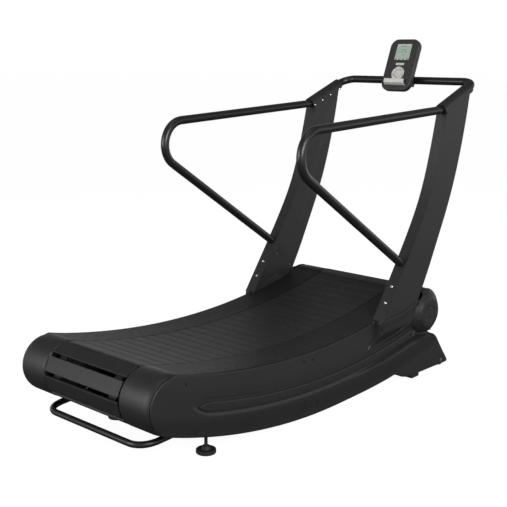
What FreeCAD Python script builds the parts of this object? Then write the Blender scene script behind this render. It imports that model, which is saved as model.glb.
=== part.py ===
import FreeCAD, Part
import math
import os

# Curved manual treadmill.  Millimetres.  +X is the runner's right, +Y is forward, +Z is up.
# The origin is on the floor, at the middle of the whole object's bounding box.
# Lengthwise stations are counted forward from the rear roller axle; station() turns them into Y.

V = FreeCAD.Vector
X_AXIS = V(1, 0, 0)
Z_AXIS = V(0, 0, 1)

# ---- driving dimensions --------------------------------------------------------------------
REAR_AXLE_Y = -965.2
REAR_AXLE_Z = 300.0
WHEELBASE = 1635.0          # rear roller axle to front roller axle
FRONT_AXLE_Z = 311.0
RUN_RADIUS = 3300.0         # curve of the running surface
RETURN_RADIUS = 3200.0      # sag of the belt on its way back
PITCH_RADIUS = 91.0         # toothed belt's pitch line on the pulleys
SLAT_TOP = 22.0             # slat's top above the pitch line
SLAT_PITCH_WANTED = 65.0
SLAT_WIDTH = 63.0
SLAT_HALF = 218.5           # half the slat's length across the machine
BELT_X = 165.0
BELT_WIDTH = 40.0
BELT_HALF_THICK = 3.0

COVER_HALF = 385.0          # outer face of the flat side covers
POD_HALF = 426.0            # outer face of the covers where they pass over the upright's foot
FOOT_COVER_OUT = 410.0      # outer face of the front foot covers
CAP_RADIUS = 115.0
COVER_TOP_RADIUS = 3050.0
COVER_LOW_STATION = 930.0
COVER_LOW_Z = 24.0
COVER_FRONT_STATION = 1500.0
WALL = 4.0
RAIL_INNER = 222.5
RAIL_OUTER = 380.5

FRAME_PLATE_X = 236.0
FRAME_PLATE = 6.0

UPRIGHT_X = 391.0
UPRIGHT_WIDE = 55.0
UPRIGHT_WALL = 3.0
TUBE_R = 19.0
TUBE_WALL = 2.5
SLEEVE_R = 27.5
SLEEVE_BORE = 22.0
SLEEVE_START = (1703.0, 1266.0)
SLEEVE_LENGTH = 257.0
SLEEVE_RISE_DEG = 21.0
BAR_BEND = 68.0

LIFT_TUBE_R = 13.0
CONSOLE_FACE = (1940.4, 1465.3)
CONSOLE_LEAN_DEG = 22.2
CONSOLE_WIDE = 170.0
CONSOLE_TALL = 270.0
CONSOLE_DEEP = 36.0
FIT_GAP = 0.05              # radial clearance of a running fit

PARTS = {}


# ---- small helpers ---------------------------------------------------------------------------
def station(y):
    return REAR_AXLE_Y + y


def at(x, y, z):
    """A point given by its side offset, its station and its height."""
    return V(x, station(y), z)


REAR = at(0, 0, REAR_AXLE_Z)
FRONT = at(0, WHEELBASE, FRONT_AXLE_Z)


def mirrored(shape):
    return shape.mirror(V(0, 0, 0), X_AXIS)


def both(shape):
    return [shape, mirrored(shape)]


def group(shapes):
    solids = []
    for shape in shapes:
        solids.extend(shape.Solids)
    return Part.makeCompound(solids)


def add(name, shape):
    PARTS[name] = shape


def add_pair(name, shape):
    """The right-hand piece (+X) and its mirror image on the left."""
    add(name + "_right", shape)
    add(name + "_left", mirrored(shape))


def prism(edges, x0, x1):
    """Closed outline in a plane across X, made solid between x0 and x1."""
    wire = Part.Wire(edges)
    face = Part.Face(wire)
    start = V(x0 - wire.Vertexes[0].X, 0, 0)
    solid = face.extrude(V(x1 - x0, 0, 0))
    solid.translate(start)
    return solid


def polygon(points):
    closed = points + [points[0]]
    return [Part.LineSegment(a, b).toShape() for a, b in zip(closed, closed[1:])]


def plate(points, x0, x1):
    return prism(polygon([at(0, y, z) for y, z in points]), x0, x1)


def box(x0, x1, y0, y1, z0, z1):
    """Box between side offsets, stations and heights."""
    return Part.makeBox(x1 - x0, y1 - y0, z1 - z0, at(x0, y0, z0))


def rod_x(radius, x0, x1, y, z):
    return Part.makeCylinder(radius, x1 - x0, at(x0, y, z), X_AXIS)


def ring_x(outer, inner, x0, x1, y, z):
    return rod_x(outer, x0, x1, y, z).cut(rod_x(inner, x0 - 1, x1 + 1, y, z))


def arc_through(centre, radius, a_deg, b_deg):
    """Circular edge in the plane across X; angles run from +Y towards +Z."""
    def point(deg):
        t = math.radians(deg)
        return centre + V(0, radius * math.cos(t), radius * math.sin(t))
    return Part.Arc(point(a_deg), point(0.5 * (a_deg + b_deg)), point(b_deg)).toShape()


def angle_of(centre, point):
    return math.degrees(math.atan2(point.z - centre.z, point.y - centre.y))


def centre_above(distance):
    """Centre that lies the same distance above both roller axles."""
    half = (FRONT - REAR) * 0.5
    middle = REAR + half
    up = V(0, -half.z, half.y)
    up.normalize()
    return middle + up * math.sqrt(distance ** 2 - half.Length ** 2)


def bent_rod(points, radius, bend_radii):
    """Round rod along straight runs joined by tangent arcs."""
    edges = []
    start = points[0]
    for corner, after, bend in zip(points[1:-1], points[2:], bend_radii):
        before = corner - start
        before.normalize()
        ahead = after - corner
        ahead.normalize()
        turn = before.getAngle(ahead)
        reach = bend * math.tan(0.5 * turn)
        first = corner - before * reach
        last = corner + ahead * reach
        inward = ahead - before
        inward.normalize()
        centre = corner + inward * (bend / math.cos(0.5 * turn))
        middle = centre - inward * bend
        edges.append(Part.LineSegment(start, first).toShape())
        edges.append(Part.Arc(first, middle, last).toShape())
        start = last
    edges.append(Part.LineSegment(start, points[-1]).toShape())
    path = Part.Wire(edges)
    direction = points[1] - points[0]
    profile = Part.Wire([Part.Circle(points[0], direction, radius).toShape()])
    return path.makePipeShell([profile], True, False)


def bent_tube(points, radius, wall, bend_radii):
    return bent_rod(points, radius, bend_radii).cut(bent_rod(points, radius - wall, bend_radii))


def button_head(tip, direction, shank_r, shank_length, head_r, head_height):
    """Domed screw: tip is under the head's middle, direction points out of the surface."""
    dome_r = (head_r ** 2 + head_height ** 2) / (2 * head_height)
    ball = Part.makeSphere(dome_r, tip - direction * (dome_r - head_height))
    slab = Part.makeCylinder(head_r, head_height, tip, direction)
    socket_floor = tip + direction * head_height * 0.55
    socket = Part.makeCylinder(0.45 * head_r, 0.6 * head_height, socket_floor, direction)
    shank = Part.makeCylinder(shank_r, shank_length, tip - direction * shank_length, direction)
    return slab.common(ball).cut(socket).fuse(shank)


# ---- the endless belt ------------------------------------------------------------------------
TOP_CENTRE = centre_above(RUN_RADIUS + SLAT_TOP + PITCH_RADIUS)
BOTTOM_CENTRE = centre_above(RETURN_RADIUS - PITCH_RADIUS)


def loop_angles():
    """Angles at which the belt leaves and meets the rollers, above and below."""
    top_rear = angle_of(REAR, TOP_CENTRE)
    top_front = angle_of(FRONT, TOP_CENTRE)
    low_rear = angle_of(BOTTOM_CENTRE, REAR)
    low_front = angle_of(BOTTOM_CENTRE, FRONT)
    return top_rear, top_front, low_rear, low_front


def loop_edges(offset):
    """Belt loop moved outwards from its pitch line by offset."""
    top_rear, top_front, low_rear, low_front = loop_angles()
    roller = PITCH_RADIUS + offset
    top = RUN_RADIUS + SLAT_TOP - offset
    low = RETURN_RADIUS + offset
    return [
        arc_through(TOP_CENTRE, top, top_rear - 180, top_front - 180),
        arc_through(FRONT, roller, top_front, low_front),
        arc_through(BOTTOM_CENTRE, low, low_front, low_rear),
        arc_through(REAR, roller, low_rear + 360, top_rear),
    ]


def slat_places():
    """Every slat's point on the pitch line with the angle of its outward normal."""
    top_rear, top_front, low_rear, low_front = loop_angles()
    top_r = RUN_RADIUS + SLAT_TOP
    rad = math.radians
    spans = [
        (REAR, PITCH_RADIUS, low_rear + 360, top_rear, 1),
        (TOP_CENTRE, top_r, top_rear - 180, top_front - 180, -1),
        (FRONT, PITCH_RADIUS, top_front, low_front, 1),
        (BOTTOM_CENTRE, RETURN_RADIUS, low_front, low_rear, 1),
    ]
    lengths = [abs(rad(b - a)) * r for _, r, a, b, _ in spans]
    total = sum(lengths)
    count = round(total / SLAT_PITCH_WANTED)
    pitch = total / count
    # one slat's middle lies at 153.5 degrees round the rear roller
    first = rad(low_rear + 360 - 153.5) * PITCH_RADIUS
    places = []
    for index in range(count):
        s = (first + index * pitch) % total
        for (centre, r, a, b, side), length in zip(spans, lengths):
            if s <= length:
                deg = a + (b - a) * s / length
                t = rad(deg)
                point = centre + V(0, r * math.cos(t), r * math.sin(t))
                normal = deg if side > 0 else deg + 180
                places.append((point, normal))
                break
            s -= length
    return places


def on_belt(template, place):
    """Copy of a piece modelled with +Z outwards at the pitch line, put at one slat's place."""
    point, normal = place
    turned = template.copy()
    turned.Placement = FreeCAD.Placement(point, FreeCAD.Rotation(X_AXIS, normal - 90))
    return turned


def slat_template():
    """T-shaped slat: running plate, stiffening rib and two feet that sit on the belts."""
    half = 0.5 * SLAT_WIDTH
    plate_under = SLAT_TOP - 8.0
    crown = Part.makeBox(2 * SLAT_HALF, SLAT_WIDTH, 8.0, V(-SLAT_HALF, -half, plate_under))
    long_edges = [e for e in crown.Edges
                  if abs(e.BoundBox.XLength - 2 * SLAT_HALF) < 0.1 and e.CenterOfMass.z > SLAT_TOP - 1]
    crown = crown.makeFillet(2.5, long_edges)
    foot_top = BELT_HALF_THICK + 0.3
    rib = Part.makeBox(2 * (SLAT_HALF - 30), 12, plate_under - foot_top, V(30 - SLAT_HALF, -6, foot_top))
    slat = crown.fuse(rib)
    for side in (-1, 1):
        foot = Part.makeBox(BELT_WIDTH + 4, 52, 3.5, V(side * BELT_X - 0.5 * BELT_WIDTH - 2, -26, foot_top))
        slat = slat.fuse(foot)
    return slat.removeSplitter()


def slat_screw_templates():
    """Two screws through each foot into the belt, one each side of the rib."""
    foot_top = BELT_HALF_THICK + 3.8
    screws = []
    for side in (-1, 1):
        for along in (-19, 19):
            for shift in (-10, 10):
                screws.append(Part.makeCylinder(3.6, 2.2, V(side * BELT_X + shift, along, foot_top + 0.02)))
    return screws


def make_belt():
    outer = prism(loop_edges(BELT_HALF_THICK), BELT_X - 0.5 * BELT_WIDTH, BELT_X + 0.5 * BELT_WIDTH)
    inner = prism(loop_edges(-BELT_HALF_THICK), BELT_X - BELT_WIDTH, BELT_X + BELT_WIDTH)
    add("toothed_belts", group(both(outer.cut(inner))))
    places = slat_places()
    slat = slat_template()
    add("belt_slats", group([on_belt(slat, place) for place in places]))
    screws = slat_screw_templates()
    add("slat_screws", group([on_belt(screw, place) for place in places for screw in screws]))


# ---- rollers, shafts and bearings ------------------------------------------------------------
SHAFT_R = 12.5
SHAFT_HALF = 262.0
SPIGOT_R = 26.0
BLOCK_X = FRAME_PLATE_X + FRAME_PLATE


def toothed_pulley(x, y, z):
    """Belt pulley with a hub and two thin flanges."""
    rim = PITCH_RADIUS - BELT_HALF_THICK - 0.5
    half = 0.5 * BELT_WIDTH + 1.5
    pulley = rod_x(rim, x - half, x + half, y, z)
    for side in (-1, 1):
        pocket = ring_x(rim - 9, 30, x - 10, x + 10, y, z)
        pocket.translate(V(side * (half + 2), 0, 0))
        pulley = pulley.cut(pocket)
    return pulley.cut(rod_x(SHAFT_R, x - 60, x + 60, y, z))


def make_rollers():
    blocks = []
    for name, y, z in (("rear", 0.0, REAR_AXLE_Z), ("front", WHEELBASE, FRONT_AXLE_Z)):
        add(name + "_shaft", rod_x(SHAFT_R, -SHAFT_HALF, SHAFT_HALF, y, z))
        add(name + "_pulleys", group([toothed_pulley(s * BELT_X, y, z) for s in (-1, 1)]))
        block = box(BLOCK_X, BLOCK_X + 18, y - 42, y + 42, z - 28, z + 28)
        spigot = rod_x(SPIGOT_R, FRAME_PLATE_X - 4, BLOCK_X, y, z)
        bore = rod_x(SHAFT_R + FIT_GAP, FRAME_PLATE_X - 10, BLOCK_X + 30, y, z)
        blocks.extend(both(block.fuse(spigot).cut(bore).removeSplitter()))
    add("bearing_blocks", group(blocks))


def make_speed_sensor():
    """Magnet on the front pulley's rim and the sensor that it passes, fixed inside the right cap."""
    face = BELT_X + 0.5 * BELT_WIDTH + 1.5
    reach = PITCH_RADIUS - 8.0
    add("sensor_magnet", rod_x(3.5, face, face + 3, WHEELBASE - reach, FRONT_AXLE_Z))
    body = box(face + 5, RAIL_INNER, WHEELBASE + reach - 5, WHEELBASE + reach + 5,
               FRONT_AXLE_Z - 7, FRONT_AXLE_Z + 7)
    add("speed_sensor", body)


# ---- steel frame -----------------------------------------------------------------------------
COVER_TOP_CENTRE = centre_above(COVER_TOP_RADIUS + CAP_RADIUS)


def low_arc():
    """Centre and radius of the covers' lower edge, tangent to the rear roller's cap."""
    drop = REAR_AXLE_Z - COVER_LOW_Z
    rise = COVER_LOW_STATION ** 2 + drop ** 2 - CAP_RADIUS ** 2
    radius = rise / (2 * (drop - CAP_RADIUS))
    return at(0, COVER_LOW_STATION, COVER_LOW_Z + radius), radius


def side_outline(inset):
    """Banana-shaped side view of the covers, moved inwards by inset."""
    low_centre, low_radius = low_arc()
    low_radius -= inset
    cap = CAP_RADIUS - inset
    top = COVER_TOP_RADIUS + inset
    top_rear = angle_of(REAR, COVER_TOP_CENTRE)
    top_front = angle_of(FRONT, COVER_TOP_CENTRE)
    rear_low = angle_of(low_centre, REAR)
    turn = station(COVER_FRONT_STATION)
    turn_deg = math.degrees(math.acos((turn - low_centre.y) / low_radius))
    corner = low_centre + V(0, low_radius * math.cos(math.radians(-turn_deg)),
                            low_radius * math.sin(math.radians(-turn_deg)))
    to_centre = FRONT - corner
    heading = math.degrees(math.atan2(to_centre.z, to_centre.y))
    tangent = heading - math.degrees(math.asin(cap / to_centre.Length))
    reach = math.sqrt(to_centre.Length ** 2 - cap ** 2)
    touch = corner + V(0, reach * math.cos(math.radians(tangent)), reach * math.sin(math.radians(tangent)))
    touch_deg = angle_of(FRONT, touch)
    return [
        arc_through(COVER_TOP_CENTRE, top, top_rear - 180, top_front - 180),
        arc_through(FRONT, cap, top_front, touch_deg),
        Part.LineSegment(touch, corner).toShape(),
        arc_through(low_centre, low_radius, -turn_deg, rear_low),
        arc_through(REAR, cap, rear_low + 360, top_rear),
    ]


CROSS_STATIONS = (230.0, 600.0, 1000.0, 1330.0)


def run_height(y, below=0.0):
    """Height of the running surface at a station, less some depth along its normal."""
    dy = station(y) - TOP_CENTRE.y
    return TOP_CENTRE.z - math.sqrt((RUN_RADIUS + below) ** 2 - dy ** 2)


def make_frame():
    plate_right = prism(side_outline(16), FRAME_PLATE_X, FRAME_PLATE_X + FRAME_PLATE)
    for axle in (REAR, FRONT):
        hole_start = V(FRAME_PLATE_X - 5, axle.y, axle.z)
        plate_right = plate_right.cut(Part.makeCylinder(SPIGOT_R + 0.2, 20, hole_start, X_AXIS))
    add("side_frames", group(both(plate_right)))
    tubes = []
    for y in CROSS_STATIONS:
        z = run_height(y, 60)
        outer = box(-FRAME_PLATE_X, FRAME_PLATE_X, y - 20, y + 20, z - 60, z)
        inner = box(-FRAME_PLATE_X - 1, FRAME_PLATE_X + 1, y - 17, y + 17, z - 57, z - 3)
        tubes.append(outer.cut(inner))
    add("cross_members", group(tubes))


BEARING_R = 17.5
BEARING_COUNT = 22
BEARING_FIRST = 130.0
BEARING_LAST = 1500.0
BEARING_X = 203.0


def bearing_stations():
    step = (BEARING_LAST - BEARING_FIRST) / (BEARING_COUNT - 1)
    return [BEARING_FIRST + i * step for i in range(BEARING_COUNT)]


def make_deck_bearings():
    bearings = []
    bolts = []
    for y in bearing_stations():
        z = run_height(y, 8.3 + BEARING_R)
        race = ring_x(BEARING_R, 5.0, BEARING_X, BEARING_X + 12, y, z)
        bolt = rod_x(5.0, BEARING_X - 1, FRAME_PLATE_X, y, z)
        head = rod_x(8.0, BEARING_X - 5, BEARING_X - 1, y, z)
        collar = ring_x(8.0, 5.0, BEARING_X + 12.3, FRAME_PLATE_X, y, z)
        bearings.extend(both(race))
        bolts.extend(both(bolt.fuse(head).fuse(collar).removeSplitter()))
    add("deck_bearings", group(bearings))
    add("deck_bearing_bolts", group(bolts))


# ---- covers ----------------------------------------------------------------------------------
POD_REAR_TOP = (1240.0, 352.0)
POD_REAR_LOW = (1196.0, 250.0)
POD_SEAM_MIDDLE = (1400.0, 371.0)
POD_LOW_MIDDLE = (1382.0, 284.0)
POD_SEAM_FRONT = (1541.0, 409.0)
POD_FACE_R = 74.0            # flat of the round front; its flank slopes out to the cap's radius
POD_FACE_ROUND = 10.0


def on_front(radius, deg):
    t = math.radians(deg)
    return FRONT + V(0, radius * math.cos(t), radius * math.sin(t))


def pod_bulge(grow):
    """Side view of the bulge that passes over the upright's foot."""
    rear_top = at(0, POD_REAR_TOP[0] - grow, POD_REAR_TOP[1] + grow)
    rear_low = at(0, POD_REAR_LOW[0] - grow, POD_REAR_LOW[1] - grow)
    seam_middle = at(0, POD_SEAM_MIDDLE[0], POD_SEAM_MIDDLE[1] + grow)
    seam_front = at(0, POD_SEAM_FRONT[0] + grow, POD_SEAM_FRONT[1] + grow)
    low_middle = at(0, POD_LOW_MIDDLE[0], POD_LOW_MIDDLE[1] - grow)
    face_top = on_front(POD_FACE_R - 12 + grow, 125)
    face_low = on_front(POD_FACE_R - 12 + grow, -160)
    return [
        Part.Arc(rear_top, seam_middle, seam_front).toShape(),
        Part.LineSegment(seam_front, face_top).toShape(),
        Part.LineSegment(face_top, face_low).toShape(),
        Part.Arc(face_low, low_middle, rear_low).toShape(),
        Part.LineSegment(rear_low, rear_top).toShape(),
    ]


def pod_solid(grow, x0, x1):
    """The bulge and the round front as one body; the front is a low cone with a rounded rim."""
    base_r = CAP_RADIUS + grow
    cone = Part.makeCone(base_r, POD_FACE_R + grow, x1 - COVER_HALF, V(COVER_HALF, FRONT.y, FRONT.z), X_AXIS)
    cone = cone.makeFillet(POD_FACE_ROUND, [e for e in cone.Edges if e.BoundBox.XMin > x1 - 1])
    base = Part.makeCylinder(base_r, COVER_HALF - x0, V(x0, FRONT.y, FRONT.z), X_AXIS)
    return prism(pod_bulge(grow), x0, x1).fuse(cone).fuse(base)


def groove_outline(half, y0, y1):
    """Long lozenge that follows the lower curve, round at both ends."""
    centre, radius = groove_curve()
    a = math.degrees(math.asin((station(y0) - centre.y) / radius)) - 90
    b = math.degrees(math.asin((station(y1) - centre.y) / radius)) - 90
    rad = math.radians

    def point(r, deg):
        return centre + V(0, r * math.cos(rad(deg)), r * math.sin(rad(deg)))

    bulge = math.degrees(half / radius)
    inner = radius - half
    outer = radius + half
    return [
        arc_through(centre, outer, a, b),
        Part.Arc(point(outer, b), point(radius, b + bulge), point(inner, b)).toShape(),
        arc_through(centre, inner, b, a),
        Part.Arc(point(inner, a), point(radius, a - bulge), point(outer, a)).toShape(),
    ]


def groove_curve():
    return at(0, 905.0, 160.0 + 3150.0), 3150.0


UPRIGHT_ROOM = 3.0
GROOVE_HALF = 32.0
GROOVE_ENDS = (150.0, 1518.0)
STRIP_HALF = 20.0
RIM_END_DEG = -80.5
RIM_INNER = 330.0


def upright_clearance():
    half = 0.5 * UPRIGHT_WIDE + UPRIGHT_ROOM
    return prism(upright_outline(UPRIGHT_ROOM), UPRIGHT_X - half, UPRIGHT_X + half)


def make_side_covers():
    inner = COVER_HALF - WALL
    wall = prism(side_outline(0), inner, COVER_HALF)
    groove = prism(groove_outline(GROOVE_HALF, *GROOVE_ENDS), COVER_HALF - 2.2, COVER_HALF + 1)
    wall = wall.cut(groove).fuse(pod_solid(0, inner, POD_HALF))
    wall = wall.cut(pod_solid(-WALL, inner - 1, POD_HALF - WALL))
    centre, radius = low_arc()
    rear_low = angle_of(centre, REAR)
    rim = prism([
        arc_through(centre, radius, rear_low, RIM_END_DEG),
        Part.LineSegment(*rim_ends(centre, radius, RIM_END_DEG)).toShape(),
        arc_through(centre, radius - 3, RIM_END_DEG, rear_low),
        Part.LineSegment(*reversed(rim_ends(centre, radius, rear_low))).toShape(),
    ], RIM_INNER, COVER_HALF - 1)
    cover = wall.fuse(rim).cut(upright_clearance()).removeSplitter()
    add_pair("side_cover", cover)
    strip_ends = (GROOVE_ENDS[0] + 14, GROOVE_ENDS[1] + 4)
    strip = prism(groove_outline(STRIP_HALF, *strip_ends), COVER_HALF - 2.0, COVER_HALF + 1.5)
    add("cover_strips", group(both(strip)))


def rim_ends(centre, radius, deg):
    t = math.radians(deg)
    out = V(0, math.cos(t), math.sin(t))
    return centre + out * radius, centre + out * (radius - 3)


def end_cap(axle, a_deg, b_deg, x1):
    """Part-round shroud over one end of a roller, closed on the belt's side."""
    outer = CAP_RADIUS
    inner = CAP_RADIUS - WALL
    rad = math.radians

    def point(r, deg):
        return axle + V(0, r * math.cos(rad(deg)), r * math.sin(rad(deg)))

    band = prism([
        arc_through(axle, outer, a_deg, b_deg),
        Part.LineSegment(point(outer, b_deg), point(inner, b_deg)).toShape(),
        arc_through(axle, inner, b_deg, a_deg),
        Part.LineSegment(point(inner, a_deg), point(outer, a_deg)).toShape(),
    ], RAIL_INNER, x1)
    side = Part.makeCylinder(inner + 1, 3, V(RAIL_INNER, axle.y, axle.z), X_AXIS)
    side = side.cut(Part.makeCylinder(20, 9, V(RAIL_INNER - 3, axle.y, axle.z), X_AXIS))
    return band.fuse(side)


RAIL_ENDS = (36.0, 1598.0)
GRIP_ENDS = (285.0, 1090.0)
GRIP_SIDES = (236.0, 364.0)


def make_foot_rails():
    band = prism(rail_band(*RAIL_ENDS, 0, -WALL), RAIL_INNER, RAIL_OUTER)
    lip_in = prism(rail_band(*RAIL_ENDS, 0, -14), RAIL_INNER, RAIL_INNER + 3)
    lip_out = prism(rail_band(*RAIL_ENDS, 0, -9), RAIL_OUTER - 3, RAIL_OUTER)
    rail = band.fuse(lip_in).fuse(lip_out).cut(upright_clearance())
    for axle in (REAR, FRONT):
        rail = rail.cut(Part.makeCylinder(CAP_RADIUS - 2, 5, V(RAIL_INNER - 1, axle.y, axle.z), X_AXIS))
    rail = rail.removeSplitter()
    add_pair("foot_rail", rail)
    add("grip_pads", group(both(prism(rail_band(*GRIP_ENDS, 1.5, 0.02), *GRIP_SIDES))))


def rail_band(y0, y1, top, under):
    """Slice that follows the running surface; top and under are heights above it."""
    radius_top = RUN_RADIUS - top
    radius_low = RUN_RADIUS - under
    a = math.degrees(math.asin((station(y0) - TOP_CENTRE.y) / RUN_RADIUS)) - 90
    b = math.degrees(math.asin((station(y1) - TOP_CENTRE.y) / RUN_RADIUS)) - 90
    rad = math.radians

    def point(r, deg):
        return TOP_CENTRE + V(0, r * math.cos(rad(deg)), r * math.sin(rad(deg)))

    return [
        arc_through(TOP_CENTRE, radius_top, a, b),
        Part.LineSegment(point(radius_top, b), point(radius_low, b)).toShape(),
        arc_through(TOP_CENTRE, radius_low, b, a),
        Part.LineSegment(point(radius_low, a), point(radius_top, a)).toShape(),
    ]


def make_covers():
    make_side_covers()
    make_foot_rails()
    add("rear_caps", group(both(end_cap(REAR, 72, 249, RAIL_OUTER))))
    add("front_caps", group(both(end_cap(FRONT, 107.5, -64, RAIL_OUTER))))


def bore_for(fasteners, names):
    """Give each named piece the holes that its fasteners' shanks fill."""
    for name in names:
        PARTS[name] = PARTS[name].cut(PARTS[fasteners])


def make_cover_screws():
    """Plugged screws of the plastic covers: side covers, strips and foot covers."""
    strip_face = COVER_HALF + 1.5
    spots = [(68, 364, COVER_HALF), (118, 159, COVER_HALF), (735, 281, COVER_HALF),
             (792, 279, COVER_HALF), (745, 85, COVER_HALF), (830, 85, COVER_HALF),
             (174, 242, strip_face), (821, 160, strip_face), (1530, 219, strip_face),
             (1658, 126, FOOT_COVER_OUT), (1744, 33, FOOT_COVER_OUT)]
    screws = []
    for y, z, x in spots:
        screws.extend(both(button_head(at(x + 0.02, y, z), X_AXIS, 1.8, 3.0, 4.5, 1.6)))
    add("cover_screws", group(screws))
    bore_for("cover_screws", ("side_cover_right", "side_cover_left", "cover_strips", "foot_covers"))


# ---- uprights --------------------------------------------------------------------------------
UPRIGHT_REAR = [(1212.0, 300.0), (1310.0, 440.0), (1486.0, 690.0), (1592.0, 870.0),
                (1662.0, 1060.0), (1714.0, 1254.0)]
UPRIGHT_FRONT = [(1457.0, 300.0), (1534.0, 409.0), (1690.0, 685.0), (1780.0, 870.0),
                 (1848.0, 1060.0), (1914.0, 1331.0)]


FOOT_NOTCH = [(1180.0, 290.0), (1245.5, 290.0), (1245.5, 330.0), (1248.5, 352.0), (1180.0, 352.0)]


def foot_notch():
    """Corner taken off behind the upright's foot, so that the cover's bulge can close over it."""
    return plate(FOOT_NOTCH, UPRIGHT_X - UPRIGHT_WIDE, UPRIGHT_X + UPRIGHT_WIDE)


def smooth(points):
    curve = Part.BSplineCurve()
    curve.interpolate([at(0, y, z) for y, z in points])
    return curve


def upright_outline(grow):
    """Side view of the upright, wider by grow at its front and rear."""
    rear = [(y - grow, z) for y, z in UPRIGHT_REAR]
    front = [(y + grow, z) for y, z in UPRIGHT_FRONT]
    rear_curve = smooth(rear).toShape()
    front_curve = smooth(front).toShape()
    return [
        rear_curve,
        Part.LineSegment(at(0, *rear[-1]), at(0, *front[-1])).toShape(),
        front_curve,
        Part.LineSegment(at(0, *front[0]), at(0, *rear[0])).toShape(),
    ]


def make_uprights():
    half = 0.5 * UPRIGHT_WIDE
    x0, x1 = UPRIGHT_X - half, UPRIGHT_X + half
    outer = prism(upright_outline(0), x0, x1)
    hollow = prism(upright_outline(-UPRIGHT_WALL), x0 + UPRIGHT_WALL, x1 - UPRIGHT_WALL)
    saddle = Part.makeCylinder(SLEEVE_BORE, SLEEVE_LENGTH + 60, on_sleeve(-30), SLEEVE_DIR)
    shell = outer.cut(hollow).cut(strip_solid(0.0)).cut(saddle).cut(foot_notch())
    for arm in post_arms(0.3):
        shell = shell.cut(arm)
    add_pair("upright", shell.removeSplitter())
    foot = at(UPRIGHT_X, *HANDRAIL_FOOT)
    rail_hole = Part.makeCylinder(TUBE_R + 0.3, 300, foot, handrail_corner() - foot)
    strip = strip_solid(0.3).cut(rail_hole).cut(saddle).cut(foot_notch())
    add("upright_strips", group(both(strip)))


def strip_solid(gap):
    """Narrow cover that closes the rear of the upright."""
    half = 0.5 * UPRIGHT_WIDE
    x0, x1 = UPRIGHT_X - half + UPRIGHT_WALL + gap, UPRIGHT_X + half - UPRIGHT_WALL - gap
    outer = prism(upright_outline(0.0 if gap else 1.0), x0, x1)
    ahead = prism(upright_outline(0.0), x0 - 1, x1 + 1)
    ahead.translate(V(0, STRIP_THICK - gap, 0))
    roof = box(x0 - 1, x1 + 1, UPRIGHT_REAR[-1][0] + STRIP_THICK, 2000, 1000, 1500)
    return outer.cut(ahead).cut(roof)


STRIP_THICK = 6.5
POST_GAP = 1.0
POST_TOP = 500.0
POST_WALL = 4.0
ARM_SPOTS = ((1250.0, 302.0), (1375.0, 302.0))
ARM_SIZE = (50.0, 30.0)


def post_arms(gap):
    """Arms from the side frame to the upright's post, larger all round by gap."""
    arms = []
    x1 = UPRIGHT_X - 0.5 * UPRIGHT_WIDE + UPRIGHT_WALL + POST_GAP + POST_WALL
    for y, z in ARM_SPOTS:
        arms.append(box(FRAME_PLATE_X + FRAME_PLATE, x1, y - gap, y + ARM_SIZE[0] + gap,
                        z - gap, z + ARM_SIZE[1] + gap))
    return arms


def make_upright_posts():
    """Steel stubs on the frame that the uprights are bolted over."""
    half = 0.5 * UPRIGHT_WIDE - UPRIGHT_WALL - POST_GAP
    x0, x1 = UPRIGHT_X - half, UPRIGHT_X + half
    low = UPRIGHT_REAR[0][1]
    inset = STRIP_THICK + 5
    post = prism(upright_outline(-inset), x0, x1).common(box(x0, x1, 1000, 1700, low, POST_TOP))
    hollow = prism(upright_outline(-inset - POST_WALL), x0 + POST_WALL, x1 - POST_WALL)
    post = post.cut(hollow).cut(foot_notch())
    for arm in post_arms(0):
        post = post.fuse(arm)
    add("upright_posts", group(both(post.removeSplitter())))


SLEEVE_RISE = math.radians(SLEEVE_RISE_DEG)
SLEEVE_DIR = V(0, math.cos(SLEEVE_RISE), math.sin(SLEEVE_RISE))
SLEEVE_UP = V(0, -math.sin(SLEEVE_RISE), math.cos(SLEEVE_RISE))


def on_sleeve(along, out=0.0, x=UPRIGHT_X):
    """Point at a distance along the clamp's bore, and out from it."""
    return at(x, *SLEEVE_START) + SLEEVE_DIR * along + SLEEVE_UP * out


def under_upright_top(x0, x1):
    """Everything below the upright's sloping top edge, which runs on past both its ends."""
    (y0, z0), (y1, z1) = UPRIGHT_REAR[-1], UPRIGHT_FRONT[-1]
    slope = (z1 - z0) / (y1 - y0)
    past = 30.0
    gap = 0.3
    deep = 200.0
    rear = (y0 - past, z0 - past * slope + gap)
    front = (y1 + past, z1 + past * slope + gap)
    return plate([rear, front, (front[0], z0 - deep), (rear[0], z0 - deep)], x0, x1)


def make_tube_clamps():
    barrel = Part.makeCylinder(SLEEVE_R, SLEEVE_LENGTH, on_sleeve(0), SLEEVE_DIR)
    x0 = UPRIGHT_X - SLEEVE_R
    skirt = [on_sleeve(0, 0, x0), on_sleeve(SLEEVE_LENGTH, 0, x0),
             at(x0, *UPRIGHT_FRONT[-1]) + V(0, 0, 0.3), at(x0, *UPRIGHT_REAR[-1]) + V(0, 0, 0.3)]
    skirt = prism(polygon(skirt), x0, UPRIGHT_X + SLEEVE_R)
    bore = Part.makeCylinder(SLEEVE_BORE, SLEEVE_LENGTH + 20, on_sleeve(-10), SLEEVE_DIR)
    liner = Part.makeCylinder(SLEEVE_BORE, 60, on_sleeve(60), SLEEVE_DIR)
    liner = liner.fuse(Part.makeCylinder(SLEEVE_BORE, 60, on_sleeve(160), SLEEVE_DIR))
    seat = liner.cut(Part.makeCylinder(TUBE_R + FIT_GAP, SLEEVE_LENGTH + 20, on_sleeve(-10), SLEEVE_DIR))
    below = under_upright_top(x0 - 1, UPRIGHT_X + SLEEVE_R + 1)
    clamp = barrel.fuse(skirt).cut(bore).fuse(seat).cut(below).removeSplitter()
    add("tube_clamps", group(both(clamp)))


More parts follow.
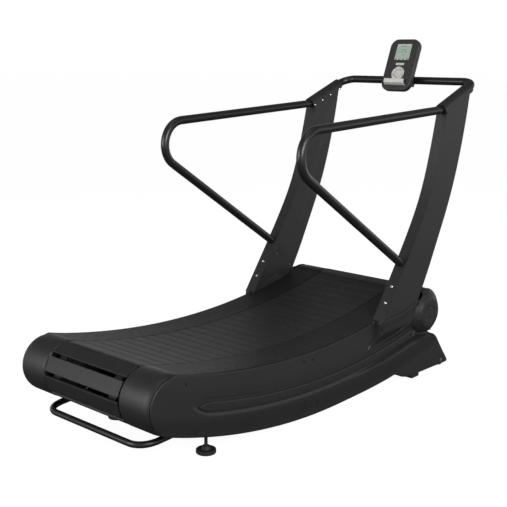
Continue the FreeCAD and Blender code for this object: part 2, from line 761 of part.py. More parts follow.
HANDRAIL_TOP_BACK = (873.0, 1232.0)
HANDRAIL_SLOPE_DEG = 2.3
HANDRAIL_FOOT = (1462.0, 553.0)
HANDRAIL_FALL_DEG = -33.8
HANDRAIL_BEND = 105.0


def handrail_corner():
    """Where the rail's upper and lower straight runs would meet."""
    up = math.tan(math.radians(HANDRAIL_SLOPE_DEG))
    down = math.tan(math.radians(HANDRAIL_FALL_DEG))
    y0, z0 = HANDRAIL_TOP_BACK
    y1, z1 = HANDRAIL_FOOT
    y = (z1 - z0 + up * y0 - down * y1) / (up - down)
    return at(UPRIGHT_X, y, z0 + up * (y - y0))


def handrail_mouth():
    """Where the rail's upper run meets the line of the clamp's bore."""
    slope = math.tan(math.radians(HANDRAIL_SLOPE_DEG))
    rise = math.tan(SLEEVE_RISE)
    y0, z0 = HANDRAIL_TOP_BACK
    y1, z1 = SLEEVE_START
    y = (z1 - z0 + slope * y0 - rise * y1) / (slope - rise)
    return at(UPRIGHT_X, y, z0 + slope * (y - y0))


JOINT_ALONG = 140.0


def make_handrails():
    points = [at(UPRIGHT_X, *HANDRAIL_FOOT), handrail_corner(), handrail_mouth(), on_sleeve(JOINT_ALONG)]
    rail = bent_tube(points, TUBE_R, TUBE_WALL, [HANDRAIL_BEND, 90.0])
    add_pair("handrail", rail)
    corner = on_sleeve(SLEEVE_LENGTH + BAR_BEND + 6)
    other = V(-corner.x, corner.y, corner.z)
    inner = on_sleeve(JOINT_ALONG + 0.5)
    far = V(-inner.x, inner.y, inner.z)
    bar = bent_tube([inner, corner, other, far], TUBE_R, TUBE_WALL, [BAR_BEND, BAR_BEND])
    add("crossbar", bar)


def bar_axis():
    return on_sleeve(SLEEVE_LENGTH + BAR_BEND + 6)


def rear_edge(z):
    """Point on the upright's rear edge at a height, and the normal that points away from it."""
    curve = smooth(UPRIGHT_REAR)
    low, high = curve.FirstParameter, curve.LastParameter
    for _ in range(40):
        middle = 0.5 * (low + high)
        if curve.value(middle).z < z:
            low = middle
        else:
            high = middle
    along = curve.tangent(low)[0]
    return curve.value(low) + V(UPRIGHT_X, 0, 0), V(0, -along.z, along.y)


def make_structure_bolts():
    bolts = []
    inner_x = UPRIGHT_X - 0.5 * UPRIGHT_WIDE
    for y, z in ((1424.0, 521.0), (1524.0, 448.0), (1420.0, 416.0)):
        bolts.append(button_head(at(inner_x - 0.02, y, z), -X_AXIS, 3.0, 2.9, 7.0, 3.6))
    for z in (490.0, 423.0):
        point, normal = rear_edge(z)
        bolts.append(button_head(point + normal * 0.1, normal, 3.0, 5.4, 7.0, 3.6))
    for along, out in ((12.0, -12.0), (78.0, -14.0), (150.0, -15.0), (232.0, -15.0)):
        tip = on_sleeve(along, out, UPRIGHT_X - SLEEVE_R)
        bolts.append(button_head(tip - X_AXIS * 0.02, -X_AXIS, 2.5, 3.0, 6.0, 3.0))
    add("upright_bolts", group([piece for bolt in bolts for piece in both(bolt)]))
    bore_for("upright_bolts", ("upright_right", "upright_left", "upright_strips", "tube_clamps"))


# ---- front legs, wheels and feet -------------------------------------------------------------
WHEEL_R = 28.0
WHEEL_STATION = 1781.0
WHEEL_LIFT = 11.0
WHEEL_X = 379.0
WHEEL_WIDE = 22.0
WHEEL_AXLE_R = 6.0
LEG_X = 366.0
LEG_PLATE = 8.0
LEG_ARMS = ((1480.0, 105.0), (1555.0, 160.0))
FOOT_COVER_IN = 350.0
FRONT_FOOT = (1537.0, 1598.0)
FRONT_FOOT_SIDES = (355.0, 395.0)
FRONT_FOOT_TALL = 28.0

LEG_OUTLINE = [(1475.0, 33.0), (1800.0, 30.0), (1808.0, 44.0), (1690.0, 165.0), (1640.0, 192.0),
               (1475.0, 150.0)]
FOOT_COVER_OUTLINE = [(1400.0, 55.0), (1454.0, 32.0), (1505.0, 22.0), (1585.0, 20.0), (1826.0, 15.0),
                      (1838.0, 27.0), (1757.0, 130.0), (1724.0, 164.0), (1690.0, 184.0), (1640.0, 205.0)]


def grown(points, inset):
    """Polygon face moved inwards by inset, as a list of edges."""
    wire = Part.Wire(polygon([at(0, y, z) for y, z in points]))
    return wire.makeOffset2D(-inset, 2, False, False, False).Edges


def make_front_legs():
    leg = plate(LEG_OUTLINE, LEG_X, LEG_X + LEG_PLATE)
    for y, z in LEG_ARMS:
        leg = leg.fuse(box(FRAME_PLATE_X + FRAME_PLATE, LEG_X, y, y + 40, z, z + 35))
    leg = leg.fuse(box(LEG_X - 20, LEG_X + 30, FRONT_FOOT[0] - 7, FRONT_FOOT[1] + 7,
                       FRONT_FOOT_TALL, FRONT_FOOT_TALL + 6))
    axle_z = WHEEL_R + WHEEL_LIFT
    leg = leg.cut(rod_x(WHEEL_AXLE_R, LEG_X - 2, LEG_X + 12, WHEEL_STATION, axle_z))
    add("front_legs", group(both(leg.removeSplitter())))
    foot = box(*FRONT_FOOT_SIDES, *FRONT_FOOT, 0, FRONT_FOOT_TALL)
    foot = foot.makeFillet(4.0, [e for e in foot.Edges if e.CenterOfMass.z < 1 or e.BoundBox.ZLength > 20])
    add("front_feet", group(both(foot)))


def make_transport_wheels():
    z = WHEEL_R + WHEEL_LIFT
    far = WHEEL_X + WHEEL_WIDE
    tyre = ring_x(WHEEL_R, WHEEL_AXLE_R + FIT_GAP, WHEEL_X, far, WHEEL_STATION, z)
    rims = [e for e in tyre.Edges if abs(e.BoundBox.ZLength - 2 * WHEEL_R) < 0.5 and e.BoundBox.XLength < 1]
    add_pair("transport_wheel", tyre.makeFillet(4.0, rims))
    pin = rod_x(WHEEL_AXLE_R, LEG_X - 8, far + 3, WHEEL_STATION, z)
    pin = pin.fuse(rod_x(9, far + 0.5, far + 3, WHEEL_STATION, z))
    pin = pin.fuse(rod_x(9, LEG_X - 8, LEG_X - 0.3, WHEEL_STATION, z))
    pin = pin.fuse(ring_x(9, WHEEL_AXLE_R, LEG_X + LEG_PLATE + 0.2, WHEEL_X - 0.5, WHEEL_STATION, z))
    add("wheel_axles", group(both(pin.removeSplitter())))


def make_foot_covers():
    outer = plate(FOOT_COVER_OUTLINE, FOOT_COVER_IN, FOOT_COVER_OUT)
    rim = [e for e in outer.Edges if e.BoundBox.XLength < 0.1 and e.CenterOfMass.x > FOOT_COVER_OUT - 1]
    outer = outer.makeFillet(8.0, rim)
    hollow = prism(grown(FOOT_COVER_OUTLINE, WALL), FOOT_COVER_IN - 1, FOOT_COVER_OUT - WALL)
    floor_hole = box(FOOT_COVER_IN - 1, FOOT_COVER_OUT - 6, 1466, 1820, 0, 26)
    roller_room = prism(side_outline(-1.5), FOOT_COVER_IN - 2, COVER_HALF + 1.5)
    pod_room = pod_solid(1.5, COVER_HALF - 6, POD_HALF + 2)
    cover = outer.cut(hollow).cut(floor_hole).cut(roller_room).cut(pod_room)
    largest = max(cover.Solids, key=lambda solid: solid.Volume)
    add("foot_covers", group(both(largest)))


LEVELLER_X = 269.0
LEVELLER_STATION = 278.0
STUD_R = 7.0
PAD_R = 40.0
PAD_TALL = 16.0
STUD_TOP = 146.0
BRACKET_Z = (84.0, 92.0)


def make_levellers():
    """Wide pad with its threaded stud, the bracket that the stud turns in, and a lock nut."""
    centre = at(LEVELLER_X, LEVELLER_STATION, 0)
    pad = Part.makeCylinder(PAD_R, PAD_TALL, centre, Z_AXIS)
    pad = pad.makeFillet(3.0, [e for e in pad.Edges if e.BoundBox.XLength > 70])
    boss = Part.makeCone(20, 14, 14, centre + V(0, 0, PAD_TALL), Z_AXIS)
    stud = Part.makeCylinder(STUD_R, STUD_TOP - PAD_TALL, centre + V(0, 0, PAD_TALL), Z_AXIS)
    add_pair("levelling_foot", pad.fuse(boss).fuse(stud).removeSplitter())
    hole = Part.makeCylinder(STUD_R + FIT_GAP, 200, centre, Z_AXIS)
    low, high = BRACKET_Z
    nut = hexagon_nut(centre + V(0, 0, high), 24, 12).cut(hole)
    x0 = FRAME_PLATE_X + FRAME_PLATE
    y0, y1 = LEVELLER_STATION - 25, LEVELLER_STATION + 25
    shelf = box(x0, LEVELLER_X + 22, y0, y1, low, high)
    web = box(x0, x0 + 5, y0, y1, high, 150)
    add("leveller_brackets", group(both(shelf.fuse(web).cut(hole).removeSplitter())))
    add("leveller_nuts", group(both(nut)))


def hexagon_nut(base, across, height):
    r = across / math.sqrt(3)
    points = [base + V(r * math.cos(math.radians(60 * i)), r * math.sin(math.radians(60 * i)), 0)
              for i in range(6)]
    return Part.Face(Part.Wire(polygon(points))).extrude(V(0, 0, height))


LIFT_X = 297.0
LIFT_Z = 146.0
LIFT_BACK_STATION = -84.0
LIFT_ROOT_STATION = 210.0
LIFT_BEND = 34.0


def make_lift_handle():
    """Bent tube for lifting the rear, held by clips on the side frames."""
    points = [at(LIFT_X, LIFT_ROOT_STATION, LIFT_Z), at(LIFT_X, LIFT_BACK_STATION, LIFT_Z),
              at(-LIFT_X, LIFT_BACK_STATION, LIFT_Z), at(-LIFT_X, LIFT_ROOT_STATION, LIFT_Z)]
    add("lift_handle", bent_tube(points, LIFT_TUBE_R, 2.0, [LIFT_BEND, LIFT_BEND]))
    clips = []
    bore = Part.makeCylinder(LIFT_TUBE_R, 500, at(LIFT_X, LIFT_BACK_STATION, LIFT_Z), V(0, 1, 0))
    for y in (130.0, 190.0):
        clip = box(FRAME_PLATE_X + FRAME_PLATE, LIFT_X + 17, y - 10, y + 10, LIFT_Z - 17, LIFT_Z + 17)
        clips.extend(both(clip.cut(bore)))
    add("handle_clips", group(clips))


# ---- console ---------------------------------------------------------------------------------
CONSOLE_PLACE = FreeCAD.Placement(at(0, *CONSOLE_FACE), FreeCAD.Rotation(X_AXIS, 90 - CONSOLE_LEAN_DEG))
RING_CENTRE = (0.0, -48.0)
RING_OUT = 36.0
RING_IN = 21.5
BUTTON_NAMES = ("top", "upper_left", "lower_left", "lower_right", "upper_right")


def placed(shape):
    """Shape modelled on the console's face (x across, y up the face, z towards the runner)."""
    shape = shape.copy()
    shape.Placement = CONSOLE_PLACE.multiply(shape.Placement)
    return shape


def pill(width, height, r, z0, z1, cx=0.0, cy=0.0):
    slab = Part.makeBox(width, height, z1 - z0, V(cx - 0.5 * width, cy - 0.5 * height, z0))
    return slab.makeFillet(r, [e for e in slab.Edges if e.BoundBox.ZLength > 0.99 * (z1 - z0)])


def body_slab(inset, z0, z1):
    w = CONSOLE_WIDE - 2 * inset
    h = CONSOLE_TALL - 2 * inset
    return pill(w, h, 42.0 - inset, z0, z1)


LCD = (87.0, 85.0, 66.5)
BAR_BUTTON = (49.0, 11.0, 1.5)
SPLIT = -14.0


def ring_sector(index, inner, outer, z0, z1, gap):
    """One of five equal pieces of a ring; the first is at the top."""
    cx, cy = RING_CENTRE
    base = V(cx, cy, z0)
    full = Part.makeCylinder(outer, z1 - z0, base).cut(Part.makeCylinder(inner, z1 - z0, base))
    middle = 90 + 72 * index
    wedge_points = [V(cx, cy, z0)]
    for deg in (-36, 0, 36):
        t = math.radians(middle + deg)
        wedge_points.append(V(cx + 80 * math.cos(t), cy + 80 * math.sin(t), z0))
    wedge = Part.Face(Part.Wire(polygon(wedge_points))).extrude(V(0, 0, z1 - z0))
    sector = full.common(wedge)
    for deg in (-36, 36):
        t = math.radians(middle + deg)
        slot = Part.makeBox(90, gap, z1 - z0, V(0, -0.5 * gap, z0))
        slot.Placement = FreeCAD.Placement(V(cx, cy, 0), FreeCAD.Rotation(Z_AXIS, middle + deg))
        slot = slot.copy()
        sector = sector.cut(slot)
    return sector


def make_console():
    w, h, cy = LCD
    front = body_slab(0, SPLIT, 0)
    front = front.makeFillet(5.0, [e for e in front.Edges if e.CenterOfMass.z > -0.01])
    front = front.cut(body_slab(3, SPLIT - 1, -3))
    front = front.cut(pill(w, h, 3, -5, 2, 0, cy))
    bw, bh, by = BAR_BUTTON
    front = front.cut(pill(bw + 0.8, bh + 0.8, 3.4, -5, 2, 0, by))
    front = front.cut(Part.makeCylinder(RING_OUT + 0.4, 8, V(*RING_CENTRE, -5)))
    add("console_front", placed(front))
    back = body_slab(0, -CONSOLE_DEEP, SPLIT - 0.2)
    back = back.makeFillet(14.0, [e for e in back.Edges if e.CenterOfMass.z < -CONSOLE_DEEP + 0.01])
    back = back.cut(body_slab(3, -CONSOLE_DEEP + 3, SPLIT + 1))
    back = back.cut(pill(64, 46, 4, -CONSOLE_DEEP - 1, -CONSOLE_DEEP + 4, 0, 60))
    add("console_back", placed(back))
    add("lcd_window", placed(pill(w - 0.4, h - 0.4, 2.8, -3.0, -1.2, 0, cy)))
    add("lcd_module", placed(pill(w + 8, h + 8, 2, -10.0, -3.2, 0, cy)))
    add("circuit_board", placed(pill(130, 215, 4, -13.6, -12.0, 0, 0)))
    add("battery_cover", placed(pill(63.4, 45.4, 3.7, -CONSOLE_DEEP, -CONSOLE_DEEP + 3, 0, 60)))
    cells = [Part.makeCylinder(7.1, 50, V(-25, 60 + s * 8.5, -25.5), X_AXIS) for s in (-1, 1)]
    add("battery_cells", placed(group(cells)))
    add("bar_button", placed(pill(bw, bh, 3, -4.0, 1.6, 0, by)))
    cap = Part.makeCylinder(RING_IN - 1.6, 6.0, V(*RING_CENTRE, -4.0))
    cap = cap.makeFillet(1.0, [e for e in cap.Edges if e.CenterOfMass.z > 1.9 and e.BoundBox.XLength > 30])
    add("centre_button", placed(cap))
    for index, name in enumerate(BUTTON_NAMES):
        add("ring_button_" + name, placed(ring_sector(index, RING_IN, RING_OUT, -4.0, 1.6, 2.6)))
    make_ledge()
    make_console_bracket()


LEDGE_HALF = 58.0
LEDGE_PROFILE = [(-110.0, 0.1), (-110.0, 8.0), (-102.0, 20.0), (-83.0, 23.0), (-83.0, 19.0),
                 (-98.5, 16.5), (-105.0, 6.5), (-105.0, 0.1)]


def make_ledge():
    """Tray with a lip that holds a phone upright against the console."""
    points = [V(-LEDGE_HALF, y, z) for y, z in LEDGE_PROFILE]
    face = Part.Face(Part.Wire(polygon(points)))
    add("phone_ledge", placed(face.extrude(V(2 * LEDGE_HALF, 0, 0))))


def make_console_bracket():
    """Two half clamps that hold the console's back against the crossbar."""
    axis = bar_axis()
    local = CONSOLE_PLACE.inverse().multVec(V(0, axis.y, axis.z))
    rear = Part.makeBox(60, 52, -CONSOLE_DEEP - 0.2 - local.z, V(-30, local.y - 26, local.z))
    front = Part.makeBox(60, 52, TUBE_R + 8, V(-30, local.y - 26, local.z - TUBE_R - 8.3))
    bore = Part.makeCylinder(TUBE_R + 0.02, 80, V(-40, local.y, local.z), X_AXIS)
    add("console_bracket", placed(group([rear.cut(bore), front.cut(bore)])))


def build():
    make_belt()
    make_rollers()
    make_speed_sensor()
    make_frame()
    make_deck_bearings()
    make_covers()
    make_uprights()
    make_upright_posts()
    make_tube_clamps()
    make_handrails()
    make_structure_bolts()
    make_front_legs()
    make_transport_wheels()
    make_foot_covers()
    make_cover_screws()
    make_levellers()
    make_lift_handle()
    make_console()


if __name__ == "__main__":
    build()
    os.makedirs("parts", exist_ok=True)
    for name, shape in PARTS.items():
        print(name, len(shape.Solids), shape.isValid(), round(shape.Volume / 1000))
        shape.exportStep(os.path.join("parts", name + ".step"))
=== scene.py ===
import math

import bmesh
import bpy
import numpy as np
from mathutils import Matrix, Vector
from mathutils.geometry import delaunay_2d_cdt


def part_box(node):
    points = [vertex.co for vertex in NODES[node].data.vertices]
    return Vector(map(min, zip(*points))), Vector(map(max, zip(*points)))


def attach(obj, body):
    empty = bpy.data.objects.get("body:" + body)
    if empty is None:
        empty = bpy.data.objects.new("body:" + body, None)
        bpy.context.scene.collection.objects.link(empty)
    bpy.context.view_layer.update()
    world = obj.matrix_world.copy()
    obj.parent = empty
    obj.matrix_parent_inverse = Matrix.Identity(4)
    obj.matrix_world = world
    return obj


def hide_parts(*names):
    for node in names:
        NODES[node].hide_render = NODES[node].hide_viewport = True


# Looks of the curved manual treadmill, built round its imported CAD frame.
# Shape code works in millimetres: x across (positive is the runner's right), station forward of
# the rear roller's axle, and height above the floor.

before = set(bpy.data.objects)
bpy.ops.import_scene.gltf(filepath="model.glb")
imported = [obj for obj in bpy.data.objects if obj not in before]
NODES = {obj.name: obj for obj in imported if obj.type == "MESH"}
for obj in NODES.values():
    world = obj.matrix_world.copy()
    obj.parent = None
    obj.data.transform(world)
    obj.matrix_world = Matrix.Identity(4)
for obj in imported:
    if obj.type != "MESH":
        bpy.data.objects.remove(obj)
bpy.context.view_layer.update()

MM = 0.001


def middle_of(node):
    low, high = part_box(node)
    return 0.5 * (low + high)


REAR_Y = middle_of("rear_shaft").y
REAR_Z = middle_of("rear_shaft").z / MM
FRONT_STATION = (middle_of("front_shaft").y - REAR_Y) / MM
FRONT_Z = middle_of("front_shaft").z / MM
SIDES = (("right", 1.0), ("left", -1.0))


def place(x, station, z):
    return Vector((x * MM, REAR_Y + station * MM, z * MM))


# ---- camera, light and floor -------------------------------------------------------------------
CAMERA_LENS, CAMERA_SENSOR = 67.24, 36.0
CAMERA_SPOT = (2.7368, -3.1113, 1.5417)
CAMERA_DOWN, CAMERA_TURN = 12.194, 42.439
FLOOR_RADIUS = 60.0
FLOOR_GLOW = 0.93
LAMPS = (("key", (4.6, -1.6, 2.7), (0.0, -0.2, 0.3), (3.0, 2.0), 190.0),
         ("top", (0.4, -0.6, 5.2), (0.0, 0.0, 0.0), (3.0, 3.0), 25.0),
         ("rear", (-1.4, -4.6, 1.8), (0.0, -0.8, 0.3), (2.4, 1.6), 90.0))


def add_camera():
    data = bpy.data.cameras.new("camera")
    data.lens = CAMERA_LENS
    data.sensor_width = CAMERA_SENSOR
    data.clip_end = 100.0
    camera = bpy.data.objects.new("camera", data)
    camera.location = CAMERA_SPOT
    camera.rotation_euler = (math.radians(90 - CAMERA_DOWN), 0.0, math.radians(CAMERA_TURN))
    bpy.context.scene.collection.objects.link(camera)
    bpy.context.scene.camera = camera


def add_lamp(name, spot, aim, size, power):
    data = bpy.data.lights.new(name, "AREA")
    data.shape = "RECTANGLE"
    data.size, data.size_y = size
    data.energy = power
    lamp = bpy.data.objects.new(name, data)
    lamp.location = spot
    lamp.rotation_euler = (Vector(aim) - Vector(spot)).to_track_quat("-Z", "Y").to_euler()
    bpy.context.scene.collection.objects.link(lamp)


def add_world():
    world = bpy.data.worlds.new("studio")
    world.use_nodes = True
    tree = world.node_tree
    background = tree.nodes["Background"]
    where = tree.nodes.new("ShaderNodeTexCoord")
    split = tree.nodes.new("ShaderNodeSeparateXYZ")
    ramp = tree.nodes.new("ShaderNodeValToRGB")
    rise = tree.nodes.new("ShaderNodeMapRange")
    rise.inputs["From Min"].default_value = -1.0
    tree.links.new(where.outputs["Generated"], split.inputs[0])
    tree.links.new(split.outputs["Z"], rise.inputs["Value"])
    tree.links.new(rise.outputs["Result"], ramp.inputs[0])
    tree.links.new(ramp.outputs[0], background.inputs["Color"])
    # dim below the floor, white round the horizon, softer overhead
    stops = ((0.0, 0.05), (0.40, 0.10), (0.475, 1.0), (0.56, 1.0), (0.66, 0.22), (1.0, 0.05))
    while len(ramp.color_ramp.elements) < len(stops):
        ramp.color_ramp.elements.new(0.5)
    for element, (spot, level) in zip(ramp.color_ramp.elements, stops):
        element.position = spot
        element.color = (level, level, level, 1.0)
    bpy.context.scene.world = world
    bpy.context.scene.view_settings.view_transform = "Standard"


def add_stage():
    spokes = 96
    turns = [2 * math.pi * i / spokes for i in range(spokes)]
    rim = [(FLOOR_RADIUS * math.cos(t), FLOOR_RADIUS * math.sin(t), 0.0) for t in turns]
    mesh = bpy.data.meshes.new("floor")
    mesh.from_pydata(rim, [], [list(range(spokes))])
    floor = bpy.data.objects.new("floor", mesh)
    bpy.context.scene.collection.objects.link(floor)
    pale = finish("studio_floor", 0.20, 0.21, rough=(0.85, 0.95), grain=220, relief=0.02)
    shader = pale.node_tree.nodes["Principled BSDF"]
    shader.inputs["Emission Color"].default_value = (1.0, 1.0, 1.0, 1.0)
    shader.inputs["Emission Strength"].default_value = FLOOR_GLOW
    floor.data.materials.append(pale)
    # the floor is seen but throws no light back, as on a plain product sheet
    floor.visible_diffuse = False
    floor.visible_glossy = False


# ---- materials ---------------------------------------------------------------------------------
def grey(level):
    return (level, level, level) if isinstance(level, (int, float)) else tuple(level)


def finish(name, dark, light, rough=(0.4, 0.5), metal=0.0, grain=900, relief=0.08,
           patch=9.0, stretch=(1, 1, 1), pattern=None, pattern_scale=300, pattern_relief=0.3,
           gloss=0.5, coat=0.0):
    """Procedural surface: slow colour variation, uneven gloss, fine grain and an optional pattern."""
    material = bpy.data.materials.new(name)
    material.use_nodes = True
    tree = material.node_tree
    new, link = tree.nodes.new, tree.links.new
    shader = tree.nodes["Principled BSDF"]
    shader.inputs["Metallic"].default_value = metal
    shader.inputs["Specular IOR Level"].default_value = gloss
    shader.inputs["Coat Weight"].default_value = coat
    where = new("ShaderNodeTexCoord")
    scaled = new("ShaderNodeMapping")
    scaled.inputs["Scale"].default_value = stretch
    link(where.outputs["Object"], scaled.inputs["Vector"])

    def noise(scale, detail):
        node = new("ShaderNodeTexNoise")
        node.inputs["Scale"].default_value = scale
        node.inputs["Detail"].default_value = detail
        link(scaled.outputs[0], node.inputs["Vector"])
        return node

    slow = noise(patch, 4.0)
    ramp = new("ShaderNodeValToRGB")
    ramp.color_ramp.elements[0].position = 0.3
    ramp.color_ramp.elements[1].position = 0.7
    ramp.color_ramp.elements[0].color = (*grey(dark), 1.0)
    ramp.color_ramp.elements[1].color = (*grey(light), 1.0)
    link(slow.outputs["Fac"], ramp.inputs["Fac"])
    link(ramp.outputs["Color"], shader.inputs["Base Color"])

    uneven = noise(patch * 6, 5.0)
    gloss_range = new("ShaderNodeMapRange")
    gloss_range.inputs["From Min"].default_value = 0.3
    gloss_range.inputs["From Max"].default_value = 0.7
    gloss_range.inputs["To Min"].default_value = rough[0]
    gloss_range.inputs["To Max"].default_value = rough[1]
    link(uneven.outputs["Fac"], gloss_range.inputs["Value"])
    link(gloss_range.outputs["Result"], shader.inputs["Roughness"])

    fine = noise(grain, 2.0)
    bump = new("ShaderNodeBump")
    bump.inputs["Strength"].default_value = relief
    bump.inputs["Distance"].default_value = 0.0004
    link(fine.outputs["Fac"], bump.inputs["Height"])
    if pattern:
        if pattern == "cells":
            texture = new("ShaderNodeTexVoronoi")
            height = texture.outputs["Distance"]
        else:
            texture = new("ShaderNodeTexWave")
            texture.bands_direction = pattern
            height = texture.outputs["Fac"]
        texture.inputs["Scale"].default_value = pattern_scale
        link(where.outputs["Object"], texture.inputs["Vector"])
        shaped = new("ShaderNodeBump")
        shaped.inputs["Strength"].default_value = pattern_relief
        shaped.inputs["Distance"].default_value = 0.0006
        link(height, shaped.inputs["Height"])
        link(bump.outputs["Normal"], shaped.inputs["Normal"])
        bump = shaped
    link(bump.outputs["Normal"], shader.inputs["Normal"])
    return material


def make_materials():
    return {
        "cover_plastic": finish("cover_plastic", 0.0125, 0.0145, rough=(0.46, 0.54), grain=1400, relief=0.12),
        "rail_plastic": finish("rail_plastic", 0.0085, 0.0105, rough=(0.5, 0.6), grain=1200,
                               relief=0.15, gloss=0.3),
        "upright_paint": finish("upright_paint", 0.0150, 0.0175, rough=(0.46, 0.52), grain=1800, relief=0.14),
        "tube_paint": finish("tube_paint", 0.0105, 0.0125, rough=(0.30, 0.36), grain=1500, relief=0.05),
        "frame_paint": finish("frame_paint", 0.011, 0.014, rough=(0.5, 0.6), grain=1600, relief=0.2),
        "slat_rubber": finish("slat_rubber", 0.0085, 0.0115, rough=(0.5, 0.62), grain=1000, relief=0.2,
                              patch=24, pattern="cells", pattern_scale=420, pattern_relief=0.10),
        "belt_rubber": finish("belt_rubber", 0.010, 0.014, rough=(0.6, 0.7), grain=900, relief=0.3),
        "grip_rubber": finish("grip_rubber", 0.007, 0.010, rough=(0.5, 0.65), grain=900, relief=0.25),
        "strip_plastic": finish("strip_plastic", 0.013, 0.017, rough=(0.36, 0.5), grain=900, relief=0.1,
                                patch=30, pattern="DIAGONAL", pattern_scale=180, pattern_relief=0.10),
        "foot_rubber": finish("foot_rubber", 0.008, 0.012, rough=(0.6, 0.75), grain=700, relief=0.35),
        "ground_steel": finish("ground_steel", 0.42, 0.52, rough=(0.25, 0.35), metal=1.0, grain=900,
                               relief=0.1, stretch=(12, 1, 1)),
        "zinc_bolt": finish("zinc_bolt", 0.62, 0.78, rough=(0.22, 0.34), metal=1.0, grain=1500, relief=0.12,
                            patch=120),
        "black_screw": finish("black_screw", 0.003, 0.005, rough=(0.45, 0.6), grain=2200, relief=0.2,
                              gloss=0.2),
        "pulley_alloy": finish("pulley_alloy", 0.40, 0.50, rough=(0.35, 0.45), metal=1.0, grain=800,
                               relief=0.15),
        "block_iron": finish("block_iron", 0.05, 0.07, rough=(0.55, 0.7), metal=0.4, grain=500, relief=0.4),
        "console_plastic": finish("console_plastic", 0.026, 0.032, rough=(0.42, 0.5), grain=2200, relief=0.2,
                                  patch=30),
        "silver_plastic": finish("silver_plastic", (0.62, 0.61, 0.56), (0.70, 0.69, 0.64), rough=(0.3, 0.38),
                                 metal=0.25, grain=2600, relief=0.05, patch=40),
        "display_glass": finish("display_glass", (0.38, 0.46, 0.39), (0.43, 0.51, 0.44), rough=(0.12, 0.2),
                                grain=3000, relief=0.01, patch=25),
        "display_ink": finish("display_ink", (0.10, 0.12, 0.10), (0.14, 0.16, 0.14), rough=(0.3, 0.4),
                              grain=3000, relief=0.02, patch=90),
        "display_pale": finish("display_pale", (0.66, 0.74, 0.66), (0.72, 0.79, 0.72), rough=(0.25, 0.35),
                               grain=3000, relief=0.02, patch=90),
        "display_bar": finish("display_bar", (0.24, 0.28, 0.24), (0.28, 0.32, 0.28), rough=(0.2, 0.3),
                              grain=3000, relief=0.02, patch=60),
        "board_green": finish("board_green", (0.02, 0.12, 0.05), (0.03, 0.16, 0.07), rough=(0.4, 0.5),
                              grain=1500, relief=0.1, patch=80),
        "cell_sleeve": finish("cell_sleeve", (0.10, 0.10, 0.11), (0.14, 0.14, 0.15), rough=(0.25, 0.35),
                              grain=1500, relief=0.05, patch=60),
        "sensor_plastic": finish("sensor_plastic", 0.02, 0.03, rough=(0.45, 0.55), grain=1500, relief=0.1),
        "magnet_metal": finish("magnet_metal", 0.55, 0.66, rough=(0.3, 0.4), metal=1.0, grain=1500,
                               relief=0.1, patch=150),
    }


NODE_FINISH = {
    "toothed_belts": "belt_rubber", "belt_slats": "slat_rubber", "slat_screws": "zinc_bolt",
    "rear_shaft": "ground_steel", "front_shaft": "ground_steel",
    "rear_pulleys": "pulley_alloy", "front_pulleys": "pulley_alloy",
    "bearing_blocks": "block_iron", "sensor_magnet": "magnet_metal", "speed_sensor": "sensor_plastic",
    "side_frames": "frame_paint", "cross_members": "frame_paint",
    "deck_bearings": "ground_steel", "deck_bearing_bolts": "zinc_bolt",
    "side_cover": "cover_plastic", "cover_strips": "strip_plastic", "foot_rail": "rail_plastic",
    "grip_pads": "grip_rubber", "rear_caps": "cover_plastic", "front_caps": "cover_plastic",
    "upright": "upright_paint", "upright_strips": "upright_paint", "upright_posts": "frame_paint",
    "tube_clamps": "upright_paint", "handrail": "tube_paint", "crossbar": "tube_paint",
    "upright_bolts": "zinc_bolt", "front_legs": "frame_paint", "front_feet": "foot_rubber",
    "transport_wheel": "foot_rubber", "wheel_axles": "zinc_bolt", "foot_covers": "cover_plastic",
    "cover_screws": "black_screw", "levelling_foot": "foot_rubber", "leveller_brackets": "frame_paint",
    "leveller_nuts": "zinc_bolt", "lift_handle": "tube_paint", "handle_clips": "foot_rubber",
    "console_front": "console_plastic", "console_back": "console_plastic", "lcd_window": "display_glass",
    "lcd_module": "display_bar", "circuit_board": "board_green", "battery_cover": "console_plastic",
    "battery_cells": "cell_sleeve", "bar_button": "silver_plastic", "centre_button": "silver_plastic",
    "ring_button": "silver_plastic", "phone_ledge": "silver_plastic", "console_bracket": "frame_paint",
}


def paint_nodes(materials):
    for name, thing in NODES.items():
        keys = [key for key in NODE_FINISH if name == key or name.startswith(key + "_")]
        key = max(keys, key=len)
        chosen = materials[NODE_FINISH[key]]
        for index in range(len(thing.data.materials)):
            thing.data.materials[index] = chosen
        if not len(thing.data.materials):
            thing.data.materials.append(chosen)


# ---- mesh helpers ------------------------------------------------------------------------------
def add_piece(name, verts, faces, material, replaced=(), thickness=0.0, body="frame", smooth=40.0):
    """Mesh piece riding the frame; verts are Vectors in metres."""
    mesh = bpy.data.meshes.new(name)
    mesh.from_pydata(verts, [], faces)
    mesh.validate()
    piece = bpy.data.objects.new(name, mesh)
    bpy.context.scene.collection.objects.link(piece)
    mesh.materials.append(material)
    if thickness:
        shell = piece.modifiers.new("shell", "SOLIDIFY")
        shell.thickness = thickness * MM
        shell.offset = -1.0
        shell.use_even_offset = False
    mesh.shade_smooth()
    mesh.set_sharp_from_angle(angle=math.radians(smooth))
    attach(piece, body)
    if replaced:
        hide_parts(*replaced)
    return piece


def facing(verts, faces, outward):
    """Faces turned so that their normals agree with the outward direction of their middle."""
    turned = []
    for face in faces:
        a, b, c = (verts[i] for i in face[:3])
        normal = (b - a).cross(c - b)
        turned.append(list(face) if normal.dot(outward) >= 0 else list(reversed(face)))
    return turned


def step(t):
    t = np.clip(t, 0.0, 1.0)
    return t * t * (3.0 - 2.0 * t)


